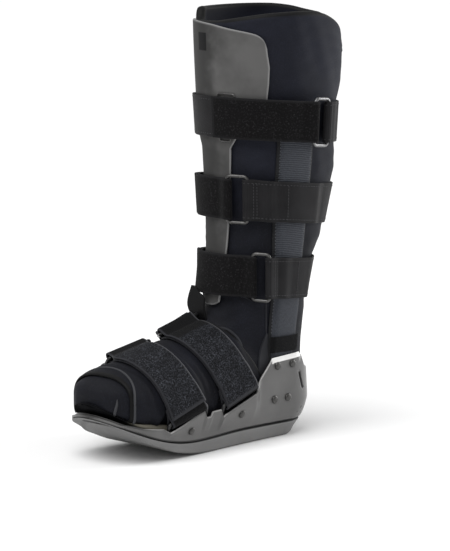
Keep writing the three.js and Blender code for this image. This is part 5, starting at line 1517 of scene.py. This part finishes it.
for name, (y, z) in rivetPlaces.items():
    for side, label in ((1, "left"), (-1, "right")):
        makeRivet(name, y, z, side, label)

# instep band: short webbing that hangs from the low strap
bandLook = {"y": -57.6, "top": 153, "bottom": 119.4, "swing": 2.6, "thick": 2.2,
            "left": [(0, -26), (0.5, -29.5), (0.75, -27), (1, -19)],
            "right": [(0, -19), (0.17, -14), (0.3, -6), (0.6, -5), (1, -2)]}


def makeBand():
    t = spread(1.0, 0.05, 20)
    share = spread(1.0, 0.07, 14)[None, :]
    left, right = (tableCurve(bandLook[k], 1, t)[:, None] for k in ("left", "right"))
    x = left + (right - left) * share
    y = bandLook["y"] - bandLook["swing"] * np.sin(np.pi * t * 0.75) - bandLook["thick"] / 2
    z = bandLook["top"] + (bandLook["bottom"] - bandLook["top"]) * t
    middle = np.stack(np.broadcast_arrays(x, y[:, None], z[:, None]), -1)
    border = np.minimum((np.minimum(t, 1 - t) * 20)[:, None], np.minimum(x - left, right - x))
    uv = np.stack(np.broadcast_arrays(z[:, None], x), -1)
    normals = gridNormals(middle)
    marks = {"binding": np.full(middle.shape[:2], 0.9)}
    grids = sheetGrids(middle, normals, bandLook["thick"], border, 1.0, uv, marks)
    return makePiece("instep_band_webbing", grids, wrapKnit, "instep_band")


makeBand()
print("rivets and band made")

# floor, light and camera
studio = {"floor": (0.88, 0.88, 0.88), "sun": 2.55, "left": 1.2, "right": 18.0, "world": 0.5}


def makeFloor():  # a flat pale sheet just under the sole
    u = np.linspace(-6000, 6000, 25)
    x, y = np.meshgrid(u, u)
    p = np.stack([x, y, 0 * x - 0.2], -1)
    mesh = bpy.data.meshes.new("studio_floor")
    mesh.from_pydata((p.reshape(-1, 3) * mm).tolist(), [], gridQuads(25, 25).tolist())
    mesh.update()
    floor = bpy.data.objects.new("studio_floor", mesh)
    bpy.context.collection.objects.link(floor)
    material, tap, shader = newMaterial("pale_floor")
    darker = tuple(c * 0.985 for c in studio["floor"])
    paper = noiseAt(tap, objectPlace(tap), 4.0).blend(darker, studio["floor"])
    finishMaterial(tap, shader, paper, 0.85, Specular_IOR_Level=0.2)
    mesh.materials.append(material)


def areaLight(name, place, aim, size, power):
    data = bpy.data.lights.new(name, "AREA")
    data.shape, data.size, data.size_y, data.energy = "RECTANGLE", size[0], size[1], power
    lamp = bpy.data.objects.new(name, data)
    bpy.context.collection.objects.link(lamp)
    lamp.location = place
    lamp.rotation_mode = "QUATERNION"
    lamp.rotation_quaternion = (Vector(aim) - Vector(place)).to_track_quat("-Z", "Y")


def sunLight(name, place, power, angle):
    data = bpy.data.lights.new(name, "SUN")
    data.energy, data.angle = power, np.radians(angle)
    lamp = bpy.data.objects.new(name, data)
    bpy.context.collection.objects.link(lamp)
    lamp.rotation_mode = "QUATERNION"
    lamp.rotation_quaternion = (-Vector(place)).to_track_quat("-Z", "Y")


makeFloor()
sunLight("overhead", (0.1, -0.55, 1.0), studio["sun"], 55)
areaLight("left", (-1.5, -0.1, 0.7), (0, 0, 0.25), (0.4, 1.4), studio["left"])
areaLight("right", (0.75, 1.6, 0.7), (0, 0, 0.25), (0.4, 1.4), studio["right"])
world = bpy.data.worlds.new("studio_world")
bpy.context.scene.world = world
world.use_nodes = True
background = world.node_tree.nodes["Background"]
background.inputs["Color"].default_value = (1, 1, 1, 1)
background.inputs["Strength"].default_value = studio["world"]

lens = {"place": (2.2627, -2.2627, 0.64), "aim": (-0.019, -0.019, 0.159), "length": 210.9}
cameraData = bpy.data.cameras.new("camera")
cameraData.sensor_width, cameraData.lens = 36.0, lens["length"]
cameraData.clip_start, cameraData.clip_end = 0.1, 50
camera = bpy.data.objects.new("camera", cameraData)
bpy.context.collection.objects.link(camera)
camera.location = lens["place"]
camera.rotation_mode = "QUATERNION"
camera.rotation_quaternion = (Vector(lens["aim"]) - Vector(lens["place"])).to_track_quat("-Z", "Y")
bpy.context.scene.camera = camera
bpy.context.scene.view_settings.view_transform = "Standard"
print("studio ready")
